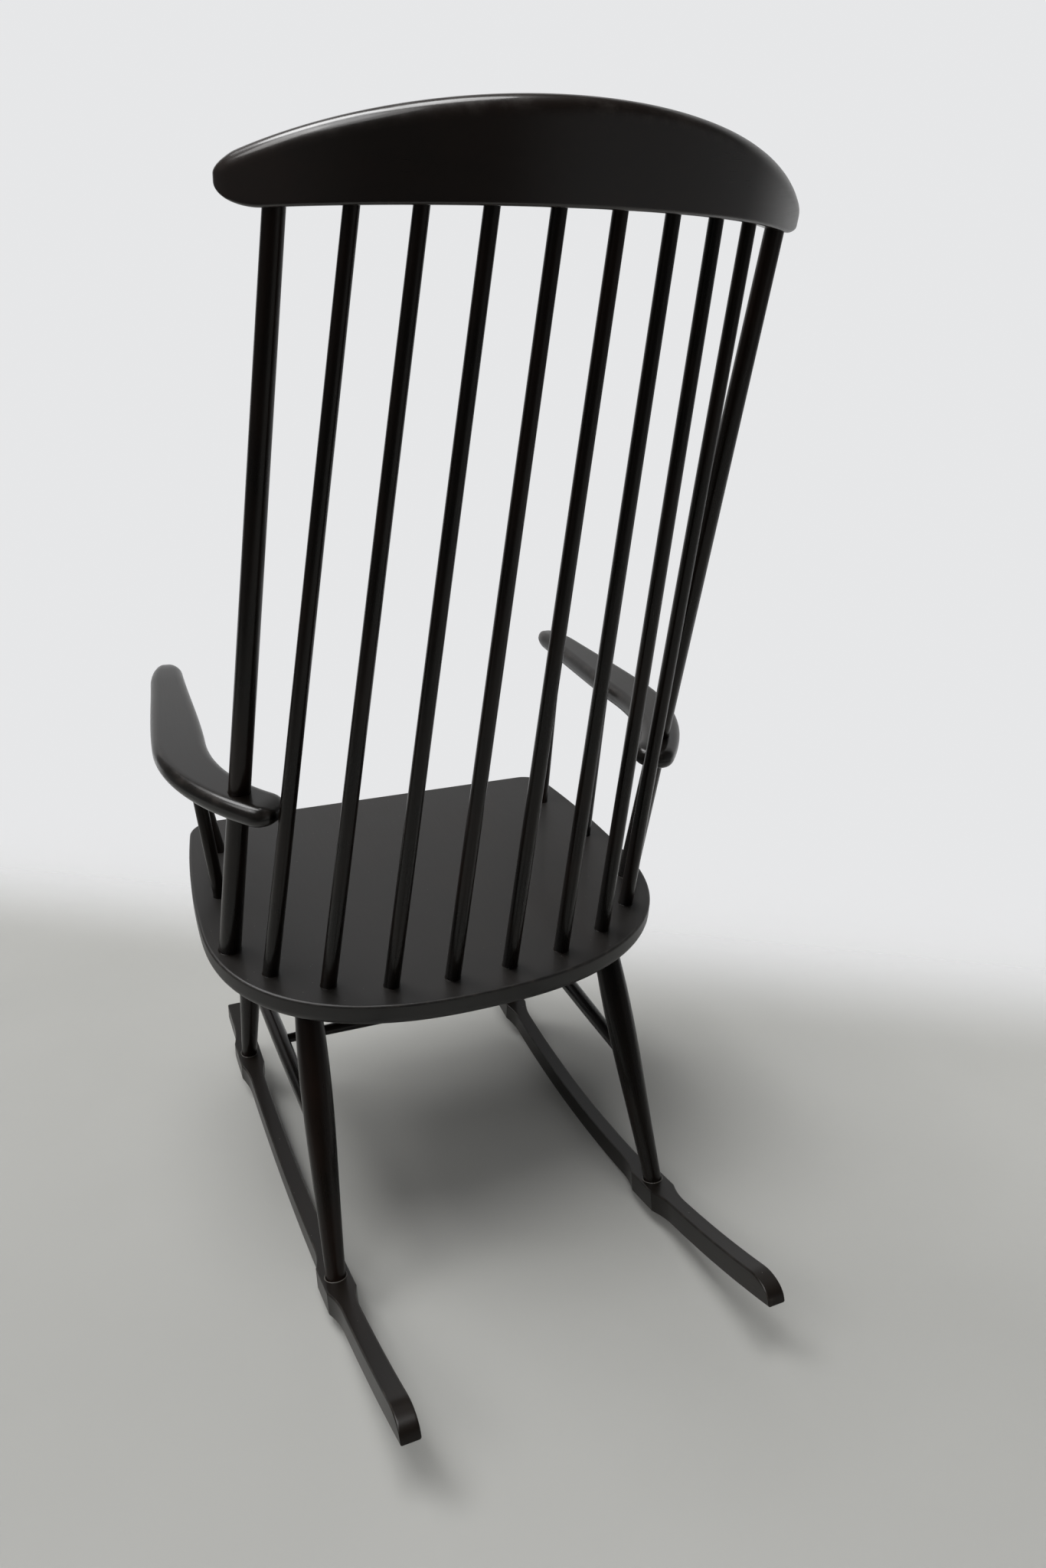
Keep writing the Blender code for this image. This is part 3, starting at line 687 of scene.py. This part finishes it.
def skin(name, rings, material):
    bm = bmesh.new()
    grain = bm.verts.layers.float_vector.new("grain")
    worn = bm.verts.layers.float.new("worn")
    rows = []
    for ring in rings:
        row = []
        for point, place, edge in ring:
            vert = bm.verts.new(point)
            vert[grain] = place
            vert[worn] = edge
            row.append(vert)
        rows.append(row)
    for first, second in zip(rows, rows[1:]):
        for i in range(len(first)):
            k = (i + 1) % len(first)
            bm.faces.new((first[i], first[k], second[k], second[i]))
    bm.faces.new(rows[0])
    bm.faces.new(rows[-1])
    bmesh.ops.recalc_face_normals(bm, faces=bm.faces)
    mesh = to_mesh(bm, name)
    mesh.materials.append(material)
    print(name, "skinned from", len(rows), "rings of", len(rows[0]), "points")
    return add_object(name, mesh)


print("a board is skinned from rings, with its grain and its wear on every point")

# %% [markdown]
# ## Bored holes
# Each stick stands in a hole bored for it, with a hair's gap all round: in the light that gap
# is the fine dark line seen at every joint. A stick could simply run into a closed board, but
# then no line would show; only the bars under the seat do so, low in its shade. The holes are cut
# with a Boolean from tapered plugs a little wider than the sticks. Cutting makes new points, so
# afterwards each point takes its place in the wood and its wear from the nearest point of the
# uncut board.

# %% Plugs for the holes
JOINT_GAP = 0.0003


def plug(bm, stick, low, high):
    lean = stick.axis.to_track_quat("Z", "Y").to_matrix().to_4x4()
    place = Matrix.Translation(stick.start + stick.axis * (low + high) / 2) @ lean
    bmesh.ops.create_cone(bm, cap_ends=True, segments=SIDES, depth=high - low, matrix=place,
                          radius1=stick.radius(low / stick.length) + JOINT_GAP,
                          radius2=stick.radius(high / stick.length) + JOINT_GAP)


def foot_hole(stick, beyond):
    return (stick, -stick.tenons[0] - JOINT_GAP, beyond)


def head_hole(stick, beyond):
    return (stick, stick.length - beyond, stick.length + stick.tenons[1] + JOINT_GAP)


print("a hole is", round(2000 * JOINT_GAP, 1), "mm wider than its stick")

# %% Bore holes into a board
def keep_lacquer(before, after):
    tree = KDTree(len(before.vertices))
    for vert in before.vertices:
        tree.insert(vert.co, vert.index)
    tree.balance()
    old_grain, old_worn = [before.attributes[name].data for name in ("grain", "worn")]
    new_grain, new_worn = [after.attributes[name].data for name in ("grain", "worn")]
    for vert in after.vertices:
        point, nearest, away = tree.find(vert.co)
        moved = vert.co - point
        new_grain[vert.index].vector = Vector(old_grain[nearest].vector) + moved
        new_worn[vert.index].value = old_worn[nearest].value


def bore(board, holes, crisp=38.0):
    bm = bmesh.new()
    for stick, low, high in holes:
        plug(bm, stick, low, high)
    plugs = add_object("plugs", to_mesh(bm, "plugs", smooth=False))
    cut = board.modifiers.new("holes", "BOOLEAN")
    cut.object = plugs
    cut.solver = "EXACT"
    after = plain_mesh(board)
    board.modifiers.remove(cut)
    bpy.data.objects.remove(plugs)
    keep_lacquer(board.data, after)
    after.set_sharp_from_angle(angle=math.radians(crisp))
    board.data = after
    print(board.name, "holes:", len(holes), "faces:", len(after.polygons))


print("a board keeps its grain and its wear when it is bored")

# %% [markdown]
# ## The seat
# The seat is one thick board, straight in front, bowed at the sides and round behind. Its upper
# edge has a small round-over that catches a line of light, and below a short square edge the
# underside curves inwards, which makes the board look thin. A bevel would treat both edges alike.
# So the board is skinned from insets of one outline, from the flat of its top, over the edge, to
# the flat of its underside.

# %% Outline of the seat
def seat_outline(front_steps=16, corner_steps=18, side_steps=24, back_steps=64, rounds=12):
    # Where the corner's arc touches the bowed side is found in a few rounds.
    slope = 0.0
    for _ in range(rounds):
        touch = -SEAT_FRONT_REACH + SEAT_CORNER * (1 - math.sin(slope))
        slope = math.atan(-2 * SEAT_NARROWING * touch / SEAT_FRONT_REACH ** 2)
    centre_x = seat_half_width(touch) - SEAT_CORNER * math.cos(slope)
    centre_y = -SEAT_FRONT_REACH + SEAT_CORNER
    points = [(centre_x * i / front_steps, -SEAT_FRONT_REACH) for i in range(front_steps)]
    for i in range(corner_steps + 1):
        angle = -math.pi / 2 + (math.pi / 2 - slope) * i / corner_steps
        points.append((centre_x + SEAT_CORNER * math.cos(angle),
                       centre_y + SEAT_CORNER * math.sin(angle)))
    for i in range(1, side_steps):
        along = touch * (1 - i / side_steps)
        points.append((seat_half_width(along), along))
    points += [super_arc(SEAT_HALF_WIDTH, SEAT_REAR_REACH, i / back_steps)
               for i in range(back_steps + 1)]
    return points + [(-x, y) for x, y in reversed(points[1:-1])]


def inset(points, distance):
    moved = []
    for i, point in enumerate(points):
        run = (Vector(points[(i + 1) % len(points)]) - Vector(points[i - 1])).normalized()
        moved.append((point[0] - run.y * distance, point[1] + run.x * distance))
    return moved


outline = seat_outline()
print("seat outline:", len(outline), "points")

# %% Edge of the seat, from its top to its underside
def seat_edge(top_round=0.0030, undercut=0.013, top_flat=0.030, lower_flat=0.004,
              lower_wear=0.25, lower_steps=10):
    rows = [(top_flat, 0.0, 0.0), (top_round + GUARD, 0.0, 0.0)]
    for angle in quarter_turn(STEPS):
        rows.append((top_round * (1 - math.sin(angle)), -top_round * (1 - math.cos(angle)),
                     math.sin(2 * angle)))
    rows.append((0.0, -top_round - GUARD, 0.0))
    square = SEAT_THICKNESS - undercut
    for angle in quarter_turn(lower_steps):
        rows.append((undercut * (1 - math.cos(angle)), -square - undercut * math.sin(angle),
                     lower_wear * math.sin(2 * angle)))
    rows.append((undercut + lower_flat, -SEAT_THICKNESS, 0.0))
    return rows


print("seat edge:", len(seat_edge()), "rows")

# %% Skin and bore the seat
# Each board starts at its own place in the wood, so that no two show the same fibres.
SEAT_GRAIN, CREST_GRAIN, ARM_GRAIN, ROCKER_GRAIN = 2.0, 4.0, 6.0, 9.0
SEAT_BEYOND = 0.03

rings = []
for distance, up, edge in seat_edge():
    rings.append([(seat_point(x, along, up), (up + SEAT_GRAIN, x, along), edge)
                  for x, along in inset(outline, distance)])
seat = skin("seat_board", rings, seat_lacquer)
seat_holes = []
for word in back:
    seat_holes += [foot_hole(stick, SEAT_BEYOND) for stick in back[word] + arm_posts[word]]
    seat_holes += [head_hole(stick, SEAT_BEYOND) for stick in legs[word]]
bore(seat, seat_holes)
pieces["seat"] = seat

# %% [markdown]
# ## The crest rail
# The crest is a board bent to an arc. Seen from behind it is tall in the middle and falls away
# to round tips, and its upper edge is rolled over, where the brightest line of the whole chair
# runs. Its lower edge leans a little, down at the sitter's left. A flat board could be bent with
# a modifier, but its ends would stay square. Here the section is set across the arc at even
# steps, and the tips close with a quarter round that is short above and long below.

# %% Skin and bore the crest
# A full round takes up this share of the half thickness, so that its two arcs don't quite meet.
FULL_ROUND = 0.98
BOARD_BEYOND = 0.02


def crest_upper(arc):
    return CREST_HEIGHT - CREST_TOP_DROP * (arc / CREST_HALF_LENGTH) ** 2


def crest_section(arc, tip_upper, tip_lower, top_round=0.0092, low_round=0.0030, lean=0.0030,
                  tip_height=0.70, tip_thinner=0.0065, roll=1.3):
    from_end = CREST_HALF_LENGTH + CREST_TIP - abs(arc)
    above, below = round_share(from_end, tip_upper), round_share(from_end, tip_lower)
    lower = crest_lower(arc) - lean * math.sin(arc / CREST_HALF_LENGTH * math.pi / 2)
    middle = lower + tip_height * (crest_upper(arc) - lower)
    thin = CREST_THICKNESS / 2 - tip_thinner * (1 - above)
    return rounded_section(middle + (lower - middle) * below,
                           middle + (crest_upper(arc) - middle) * above, thin,
                           low_round * below, min(top_round, thin * FULL_ROUND) * above, roll)


def crest_rings(tip_upper=0.017, tip_lower=0.038, steps=110, tip_steps=22):
    body = CREST_HALF_LENGTH + CREST_TIP - tip_lower
    stations = [body * (2 * i / steps - 1) for i in range(steps + 1)]
    tips = [body + tip_lower * math.sin(angle) for angle in tip_turns(tip_steps)]
    rings = []
    for arc in [-tip for tip in reversed(tips)] + stations + tips:
        rings.append([(crest_point(arc, rise, out), (rise, out + CREST_GRAIN, arc), edge)
                      for rise, out, edge in crest_section(arc, tip_upper, tip_lower)])
    return rings


crest = skin("crest_board", crest_rings(), crest_lacquer)
bore(crest, [head_hole(stick, BOARD_BEYOND) for word in back for stick in back[word]])
pieces["crest_rail"] = crest

# %% [markdown]
# ## The arms
# Each arm is a flat board like a boomerang: narrow in front, widest at the elbow, with a round
# nose all along its edge. The nose is nearly a half circle, so it shows one soft band of light
# from end to end. An outline could be extruded and bevelled, but the band would break where the
# outline turns. So sections are set square to the middle line, and both ends close in a half
# round, which is longer on the outer side of the front end.

# %% Outline of the arms
ARM_HALF_WIDTHS = (0.0181, 0.0267, 0.0219)
ARM_FRONT_END, ARM_REAR_TIP = 0.008, 0.0215
ARM_INNER_TIP, ARM_OUTER_TIP = 0.030, 0.062
ARM_REAR_POWER = 2.6


def ease(low, high, share):
    return low + (high - low) * share * share * (3 - 2 * share)


def arm_half_width(distance):
    front, elbow, rear = ARM_HALF_WIDTHS
    if distance < ARM_STRAIGHT:
        return ease(front, elbow, max(distance / ARM_STRAIGHT, 0.0))
    return ease(elbow, rear, min((distance - ARM_STRAIGHT) / (ARM_LENGTH - ARM_STRAIGHT), 1.0))


def arm_stations(front_steps=24, steps=90, rear_steps=18):
    stations = []
    for angle in reversed(tip_turns(front_steps)):
        stations.append((ARM_OUTER_TIP * (1 - math.sin(angle)) - ARM_FRONT_END, 0.0, 1.0))
    first = ARM_OUTER_TIP - ARM_FRONT_END
    stations += [(first + (ARM_LENGTH - first) * i / steps, 0.0, 1.0) for i in range(steps + 1)]
    for angle in tip_turns(rear_steps):
        share = math.sin(angle)
        narrower = (1 - share ** ARM_REAR_POWER) ** (1 / ARM_REAR_POWER)
        stations.append((ARM_LENGTH, ARM_REAR_TIP * share, narrower))
    return stations


print("arm half widths:", [round(arm_half_width(i * ARM_LENGTH / 4), 4) for i in range(5)])

# %% Skin and bore the arms
# The outer post's hole runs from this far above the post's foot to this far below its head.
POST_HOLE_FROM, POST_HOLE_TO = 0.05, 0.2


def arm_section(distance, share, rounding=0.0096, tip_thinner=0.0092, most=0.48):
    half = arm_half_width(distance) * share
    inner = half * round_share(distance + ARM_FRONT_END, ARM_INNER_TIP)
    outer = half * round_share(distance + ARM_FRONT_END, ARM_OUTER_TIP)
    # The front end thins as it narrows; the rear end brings a share of its own.
    if share == 1.0:
        share = min(share, (inner + outer) / (2 * half))
    thin = ARM_THICKNESS / 2 - tip_thinner * (1 - share)
    size = min(rounding, thin * FULL_ROUND, (inner + outer) * most)
    return rounded_section(-inner, outer, thin, size, size)


def arm_rings(side):
    rings = []
    for distance, beyond, share in arm_stations():
        shift, heading = arm_run(distance)
        centre = ARM_START + shift + beyond * Vector((math.sin(heading), math.cos(heading)))
        ring = []
        for across, up, edge in arm_section(distance, share):
            x = centre.x + across * math.cos(heading)
            along = centre.y - across * math.sin(heading)
            ring.append((arm_point(side * x, along, up - ARM_THICKNESS / 2),
                         (across, up + ARM_GRAIN + side, distance + beyond), edge))
        rings.append(ring)
    return rings


for side, word in HANDS:
    arm = skin("arm_board_" + word, arm_rings(side), arm_lacquer)
    post = back[word][-1]
    through = (post, POST_HOLE_FROM, post.length - POST_HOLE_TO)
    bore(arm, [through] + [head_hole(stick, BOARD_BEYOND) for stick in arm_posts[word]])
    pieces["arm_" + word] = arm

# %% [markdown]
# ## The rockers
# A rocker is a bar sawn to a long arc. Under each leg it widens to a boss, so that the hole for
# the foot has wood around it, and the flanks run smoothly in and out of the boss. The front end
# is cut square; behind, the top rounds down to a blunt nose. Its arrises are lightly broken. A
# block could be sawn with Booleans, but rings across the arc give the flanks clean long faces.

# %% Outline of the rockers
BOSS_WIDTH, BOSS_FLAT, BOSS_FADE = 0.031, 0.024, 0.036
NOSE_LENGTH, NOSE_DROP = 0.028, 0.0185
ARRIS = 0.0018


def rocker_half_width(y):
    swell = 0.0
    for foot in (FRONT_FOOT, REAR_FOOT):
        run = min(max((abs(y - foot) - BOSS_FLAT) / BOSS_FADE, 0.0), 1.0)
        swell = max(swell, (1 - run) ** 2)
    return (ROCKER_WIDTH + (BOSS_WIDTH - ROCKER_WIDTH) * swell) / 2


def rocker_stations(front_steps=5, steps=240, nose_steps=14):
    body = ROCKER_REAR - NOSE_LENGTH - ROCKER_FRONT
    rows = [(ROCKER_FRONT + ARRIS * (1 - math.sin(angle)), ARRIS * (1 - math.cos(angle)))
            for angle in tip_turns(front_steps)]
    rows += [(ROCKER_FRONT + ARRIS + (body - ARRIS) * i / steps, 0.0) for i in range(steps + 1)]
    rows += [(foot + way * BOSS_FLAT, 0.0) for foot in (FRONT_FOOT, REAR_FOOT) for way in (-1, 1)]
    rows += [(ROCKER_REAR - NOSE_LENGTH * (1 - math.sin(angle)), 0.0)
             for angle in tip_turns(nose_steps)]
    return sorted(rows)


print("rocker width at a foot:", round(2 * rocker_half_width(FRONT_FOOT), 4))

# %% Skin and bore the rockers
ROCKER_CRISP = 13.0


def rocker_rings(side):
    rings = []
    for y, shrink in rocker_stations():
        drop = NOSE_DROP * (1 - round_share(ROCKER_REAR - y, NOSE_LENGTH))
        top = ROCKER_DEPTH - drop - shrink
        half = rocker_half_width(y) - shrink
        ring = []
        for across, up, edge in rounded_section(-half, half, (top - shrink) / 2, ARRIS, ARRIS):
            rise = up + (top + shrink) / 2
            ring.append((rocker_point(side, y, rise, across),
                         (across, rise + ROCKER_GRAIN + side, y), edge))
        rings.append(ring)
    return rings


for side, word in HANDS:
    rocker = skin("rocker_bar_" + word, rocker_rings(side), rocker_lacquer)
    bore(rocker, [foot_hole(stick, BOARD_BEYOND) for stick in legs[word]], ROCKER_CRISP)
    pieces["rocker_" + word] = rocker

# %% [markdown]
# ## Beads of lacquer
# Where a stick enters a board, wet lacquer pools against it and dries as a thin bead. The ring
# round the foot of each leg is given a pale colour, a painted highlight, so that it shows as a
# fine bright line. A torus could be added at each place by hand. Rings that repeat at known
# places are work for a second Geometry Nodes tree: it sets one ring at each point, turned to the
# board and sized to the stick.

# %% The bead tree
def bead_tree():
    shape = Shape("beads", {"Bead share": "Float", "Bead sides": "Int", "Sides": "Int",
                            "Lacquer": "Material"})
    given = shape.given
    facing = shape.add("GeometryNodeInputNamedAttribute", {"Name": "facing"},
                       data_type="FLOAT_VECTOR")
    reach = shape.add("GeometryNodeInputNamedAttribute", {"Name": "reach"}, data_type="FLOAT")
    points = shape.add("GeometryNodeMeshToPoints", {"Mesh": given["Geometry"]})
    circle, tube = [shape.add("GeometryNodeCurvePrimitiveCircle",
                              {"Resolution": given[sides], "Radius": radius})
                    for sides, radius in (("Sides", 1.0), ("Bead sides", given["Bead share"]))]
    ring = shape.add("GeometryNodeCurveToMesh", {"Curve": circle, "Profile Curve": tube})
    turned = shape.add("FunctionNodeAlignRotationToVector", {"Vector": facing}, axis="Z")
    rings = shape.add("GeometryNodeInstanceOnPoints", {"Points": points, "Instance": ring,
                                                       "Rotation": turned, "Scale": reach})
    rings = shape.add("GeometryNodeRealizeInstances", {"Geometry": rings})
    rings = shape.with_grain(rings, shape.add("GeometryNodeInputPosition"))
    return shape.lacquered(rings)


bead_rings = bead_tree()

# %% Beads at the feet
BEAD_SIDES = 10
RIM_GAP, RIM_SHARE, BEAD_SHARE = 0.0010, 0.042, 0.045


def bead_place(stick, normal, gap=0.0):
    return (stick.start, normal, (stick.foot + gap) / abs(stick.axis.dot(normal)))


def beads(name, places, share, material):
    mesh = bpy.data.meshes.new(name)
    mesh.from_pydata([point for point, facing, reach in places], [], [])
    mesh.attributes.new("facing", "FLOAT_VECTOR", "POINT")
    mesh.attributes.new("reach", "FLOAT", "POINT")
    for i, (point, facing, reach) in enumerate(places):
        mesh.attributes["facing"].data[i].vector = facing
        mesh.attributes["reach"].data[i].value = reach
    made = add_object(name, run_tree(bead_rings, mesh, {
        "Bead share": share, "Bead sides": BEAD_SIDES, "Sides": SIDES, "Lacquer": material}))
    print(name, "faces:", len(made.data.polygons))
    return made


seat_normal = Vector((0.0, math.sin(SEAT_TILT), math.cos(SEAT_TILT)))
rim_places = []
bead_places = []
for word in back:
    for stick in legs[word]:
        ahead = (stick.start - MIDDLE).y / ROCKER_RADIUS
        normal = Vector((0.0, -ahead, math.sqrt(1 - ahead * ahead)))
        rim_places.append(bead_place(stick, normal, RIM_GAP))
    bead_places += [bead_place(stick, seat_normal) for stick in back[word]]
# The rims' pale colour is a painted highlight: it draws the bright line round each leg's foot.
foot_rims = beads("foot_rims", rim_places, RIM_SHARE, rim_painted_highlight)
lacquer_beads = beads("lacquer_beads", bead_places, BEAD_SHARE, turned_lacquer)

# %% [markdown]
# ## Handing the pieces to the frame
# Each finer piece stands for the frame's piece of the same kind and rides on the frame's
# one body. The beads stand for no piece of the frame, so they only ride. This comes last, when
# every piece is a plain mesh with no modifier left.

# %% Replace the frame's pieces
for piece in [foot_rims, lacquer_beads] + list(pieces.values()):
    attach(piece, "root")
triangles = 0
for node, piece in pieces.items():
    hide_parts(node)
    piece.data.calc_loop_triangles()
    triangles += len(piece.data.loop_triangles)
print("pieces:", len(pieces), "triangles:", triangles)

# %% [markdown]
# ## Floor and wall
# A plain pale floor sweeps up into a plain wall, so that nothing but the chair draws the eye. Two
# flat sheets would meet in a hard line, so one sheet is bent through a quarter round. The wall
# gives the lacquer something pale to mirror. A camera looks through it, and through the rim of
# the floor, at an even white, so the chair can be seen from every side.

# %% The bent sheet
WALL_SIDE = Vector((-0.627, -0.779, 0.0))
ALONG_WALL = WALL_SIDE.cross(UP)


def sweep(name, distance=1.15, radius=0.45, half_width=4.0, height=3.2, back_to=-1.1, steps=16):
    profile = [(back_to, 0.0), (distance - radius, 0.0)]
    for angle in quarter_turn(steps)[1:]:
        profile.append((distance - radius + radius * math.sin(angle),
                        radius * (1 - math.cos(angle))))
    profile.append((distance, height))
    bm = bmesh.new()
    rows = []
    for far, up in profile:
        middle = WALL_SIDE * far + UP * up
        rows.append([bm.verts.new(middle + ALONG_WALL * half_width * way) for way in (1, -1)])
    for first, second in zip(rows, rows[1:]):
        bm.faces.new((first[1], first[0], second[0], second[1]))
    return add_object(name, to_mesh(bm, name))


floor = sweep("floor")
print("floor and wall:", len(floor.data.polygons), "faces")

# %% Finish of the floor and the wall
FLOOR_COLOURS = ((0.385, 0.385, 0.368, 1.0), (0.445, 0.445, 0.427, 1.0))
WALL_COLOUR = (0.66, 0.66, 0.66, 1.0)
GLOW_COLOUR = (0.795, 0.80, 0.81, 1.0)
GLOW, GLOW_LOSS = 0.66, 0.30
PATCHES, FLOOR_ROUGHNESS = 2.2, 0.85
# Where the floor turns into wall, where the mirrored wall ends and dims, and the floor's rim.
WALL_FOOT, WALL_END, WALL_DIMS = (0.42, 0.95), (1.0, 2.6), (-0.9, 0.2)
RIM_BEHIND, RIM_ASIDE = (-1.08, -0.70), (1.2, 5.0)

ground = Finish(bpy.data.materials.new("pale_floor"))
place = ground.add("ShaderNodeTexCoord", output="Object")
to_wall = ground.along(place, WALL_SIDE)
along_wall = ground.along(place, ALONG_WALL)
wall = to_wall.smooth(*WALL_FOOT)
near = 1.0 - along_wall.smooth(*WALL_END)
bright = GLOW - along_wall.smooth(*WALL_DIMS) * GLOW_LOSS
pale = ground.colours(ground.noise(place, PATCHES, detail=4.0), *FLOOR_COLOURS)
ground.shade({"Base Color": ground.colours(wall, pale, WALL_COLOUR),
              "Roughness": FLOOR_ROUGHNESS})

# Mirrored rays meet a glowing wall; what isn't kept is see-through to the camera.
seen, mirrored = ground.ray("Is Camera Ray"), ground.ray("Is Glossy Ray")
body = Value(ground, ground.shader.outputs[0])
glow = ground.add("ShaderNodeEmission", {"Color": GLOW_COLOUR})
lit = ground.shaders(mirrored * bright * wall, body, glow)
inside = to_wall.smooth(*RIM_BEHIND) * (1.0 - (along_wall * along_wall).smooth(*RIM_ASIDE))
kept = inside * (1.0 - wall)
see_through = seen * (1.0 - kept) + mirrored * (1.0 - kept - near * wall)
shown = ground.shaders(see_through, lit, ground.add("ShaderNodeBsdfTransparent"))
ground.feed(ground.tree.nodes["Material Output"].inputs["Surface"], shown)
floor.data.materials.append(ground.holder)
print("floor finish:", len(ground.tree.nodes), "nodes")

# %% [markdown]
# ## Light
# A little light comes from all round, as in a white room. Most comes from four wide, soft lamps
# between overhead and the sitter's left, like a run of tall windows, which leave a soft shadow on
# the floor. Windows look far brighter in a gloss than such lamps do, so mirrored rays alone also
# meet a few bright panes there, and a paler room at both sides: these draw the long bright line
# on the crest and the slow change of tone along it. Stronger lamps would draw that line too, but
# they would wash out the black and the shadow.

# %% The room
ROOM_COLOUR = (0.994, 1.0, 1.012, 1.0)
ROOM_LOOK, ROOM_LIGHT = 0.74, 0.06
# Direction, the cosines at which it begins and is full, and its strength.
PALE_SIDES = (((-0.75, 0.60, -0.28), 0.60, 0.95, 0.14), ((1.0, 0.0, 0.0), 0.58, 0.98, 0.06))
PANES = (((0.26, 0.06, 0.964), 0.961, 0.988, 1.5), ((0.48, -0.04, 0.876), 0.961, 0.988, 2.5),
         ((0.44, -0.32, 0.839), 0.966, 0.990, 1.5), ((0.74, 0.08, 0.668), 0.970, 0.9925, 2.0),
         ((0.62, 0.27, 0.737), 0.970, 0.9925, 2.5))

room = Finish(bpy.data.worlds.new("white_room"), "Background")
bpy.context.scene.world = room.holder
towards = room.add("ShaderNodeTexCoord", output="Generated")
gloss = 0.0
for direction, low, high, strength in PALE_SIDES + PANES:
    gloss = gloss + room.along(towards, direction).smooth(low, high) * strength
looked_at, in_gloss = room.ray("Is Camera Ray"), room.ray("Is Glossy Ray")
room.shade({"Color": ROOM_COLOUR,
            "Strength": looked_at * ROOM_LOOK + in_gloss * gloss + ROOM_LIGHT})
print("room:", len(PANES), "panes and", len(PALE_SIDES), "pale sides")

# %% The lamps
# Name, direction towards the lamp, how wide it looks in degrees, strength and colour.
LAMPS = (("skylight", (0.13, 0.12, 0.984), 30.0, 1.56, (1.0, 1.0, 1.0)),
         ("high_window", (0.40, -0.22, 0.89), 24.0, 1.00, (1.0, 1.0, 1.0)),
         ("window", (0.76, 0.09, 0.643), 24.0, 0.35, (1.0, 0.985, 0.96)),
         ("side_window", (0.58, 0.42, 0.70), 30.0, 0.45, (1.0, 1.0, 1.0)))

for name, direction, width, strength, colour in LAMPS:
    lamp = bpy.data.lights.new(name, "SUN")
    lamp.angle = math.radians(width)
    lamp.energy = strength
    lamp.color = colour
    add_object(name, lamp).rotation_euler = Vector(direction).to_track_quat("Z", "Y").to_euler()
print("lamps:", [name for name, *rest in LAMPS])

# %% [markdown]
# ## Camera
# The camera stands behind the chair, a little to the sitter's left, between the arms and the
# crest in height, and looks down at the seat. It could be aimed by eye. Here its three turns, its
# place and its lens come from the same fit that gave the measures.

# %% Place the camera
PITCH, ROLL, YAW = math.radians(17.307), math.radians(1.198), math.radians(-22.834)
CAMERA_PLACE = Vector((0.3541, 1.1051, 0.8529))
SENSOR, PICTURE_HEIGHT, FOCAL_PIXELS = 36.0, 2048, 1404.0

heading = Vector((math.sin(YAW), -math.cos(YAW), 0.0))
ahead = heading * math.cos(PITCH) - UP * math.sin(PITCH)
level = heading.cross(UP)
down = ahead.cross(level)
right = level * math.cos(ROLL) + down * math.sin(ROLL)
down = down * math.cos(ROLL) - level * math.sin(ROLL)
lens = bpy.data.cameras.new("camera")
lens.sensor_width = SENSOR
lens.lens = FOCAL_PIXELS / PICTURE_HEIGHT * SENSOR
camera = add_object("camera", lens)
camera.matrix_world = (Matrix.Translation(CAMERA_PLACE + MIDDLE)
                       @ Matrix((right, -down, -ahead)).transposed().to_4x4())
bpy.context.scene.camera = camera
bpy.context.scene.view_settings.view_transform = "Standard"
print("camera height:", round(camera.location.z, 3), "lens:", round(lens.lens, 2), "mm")
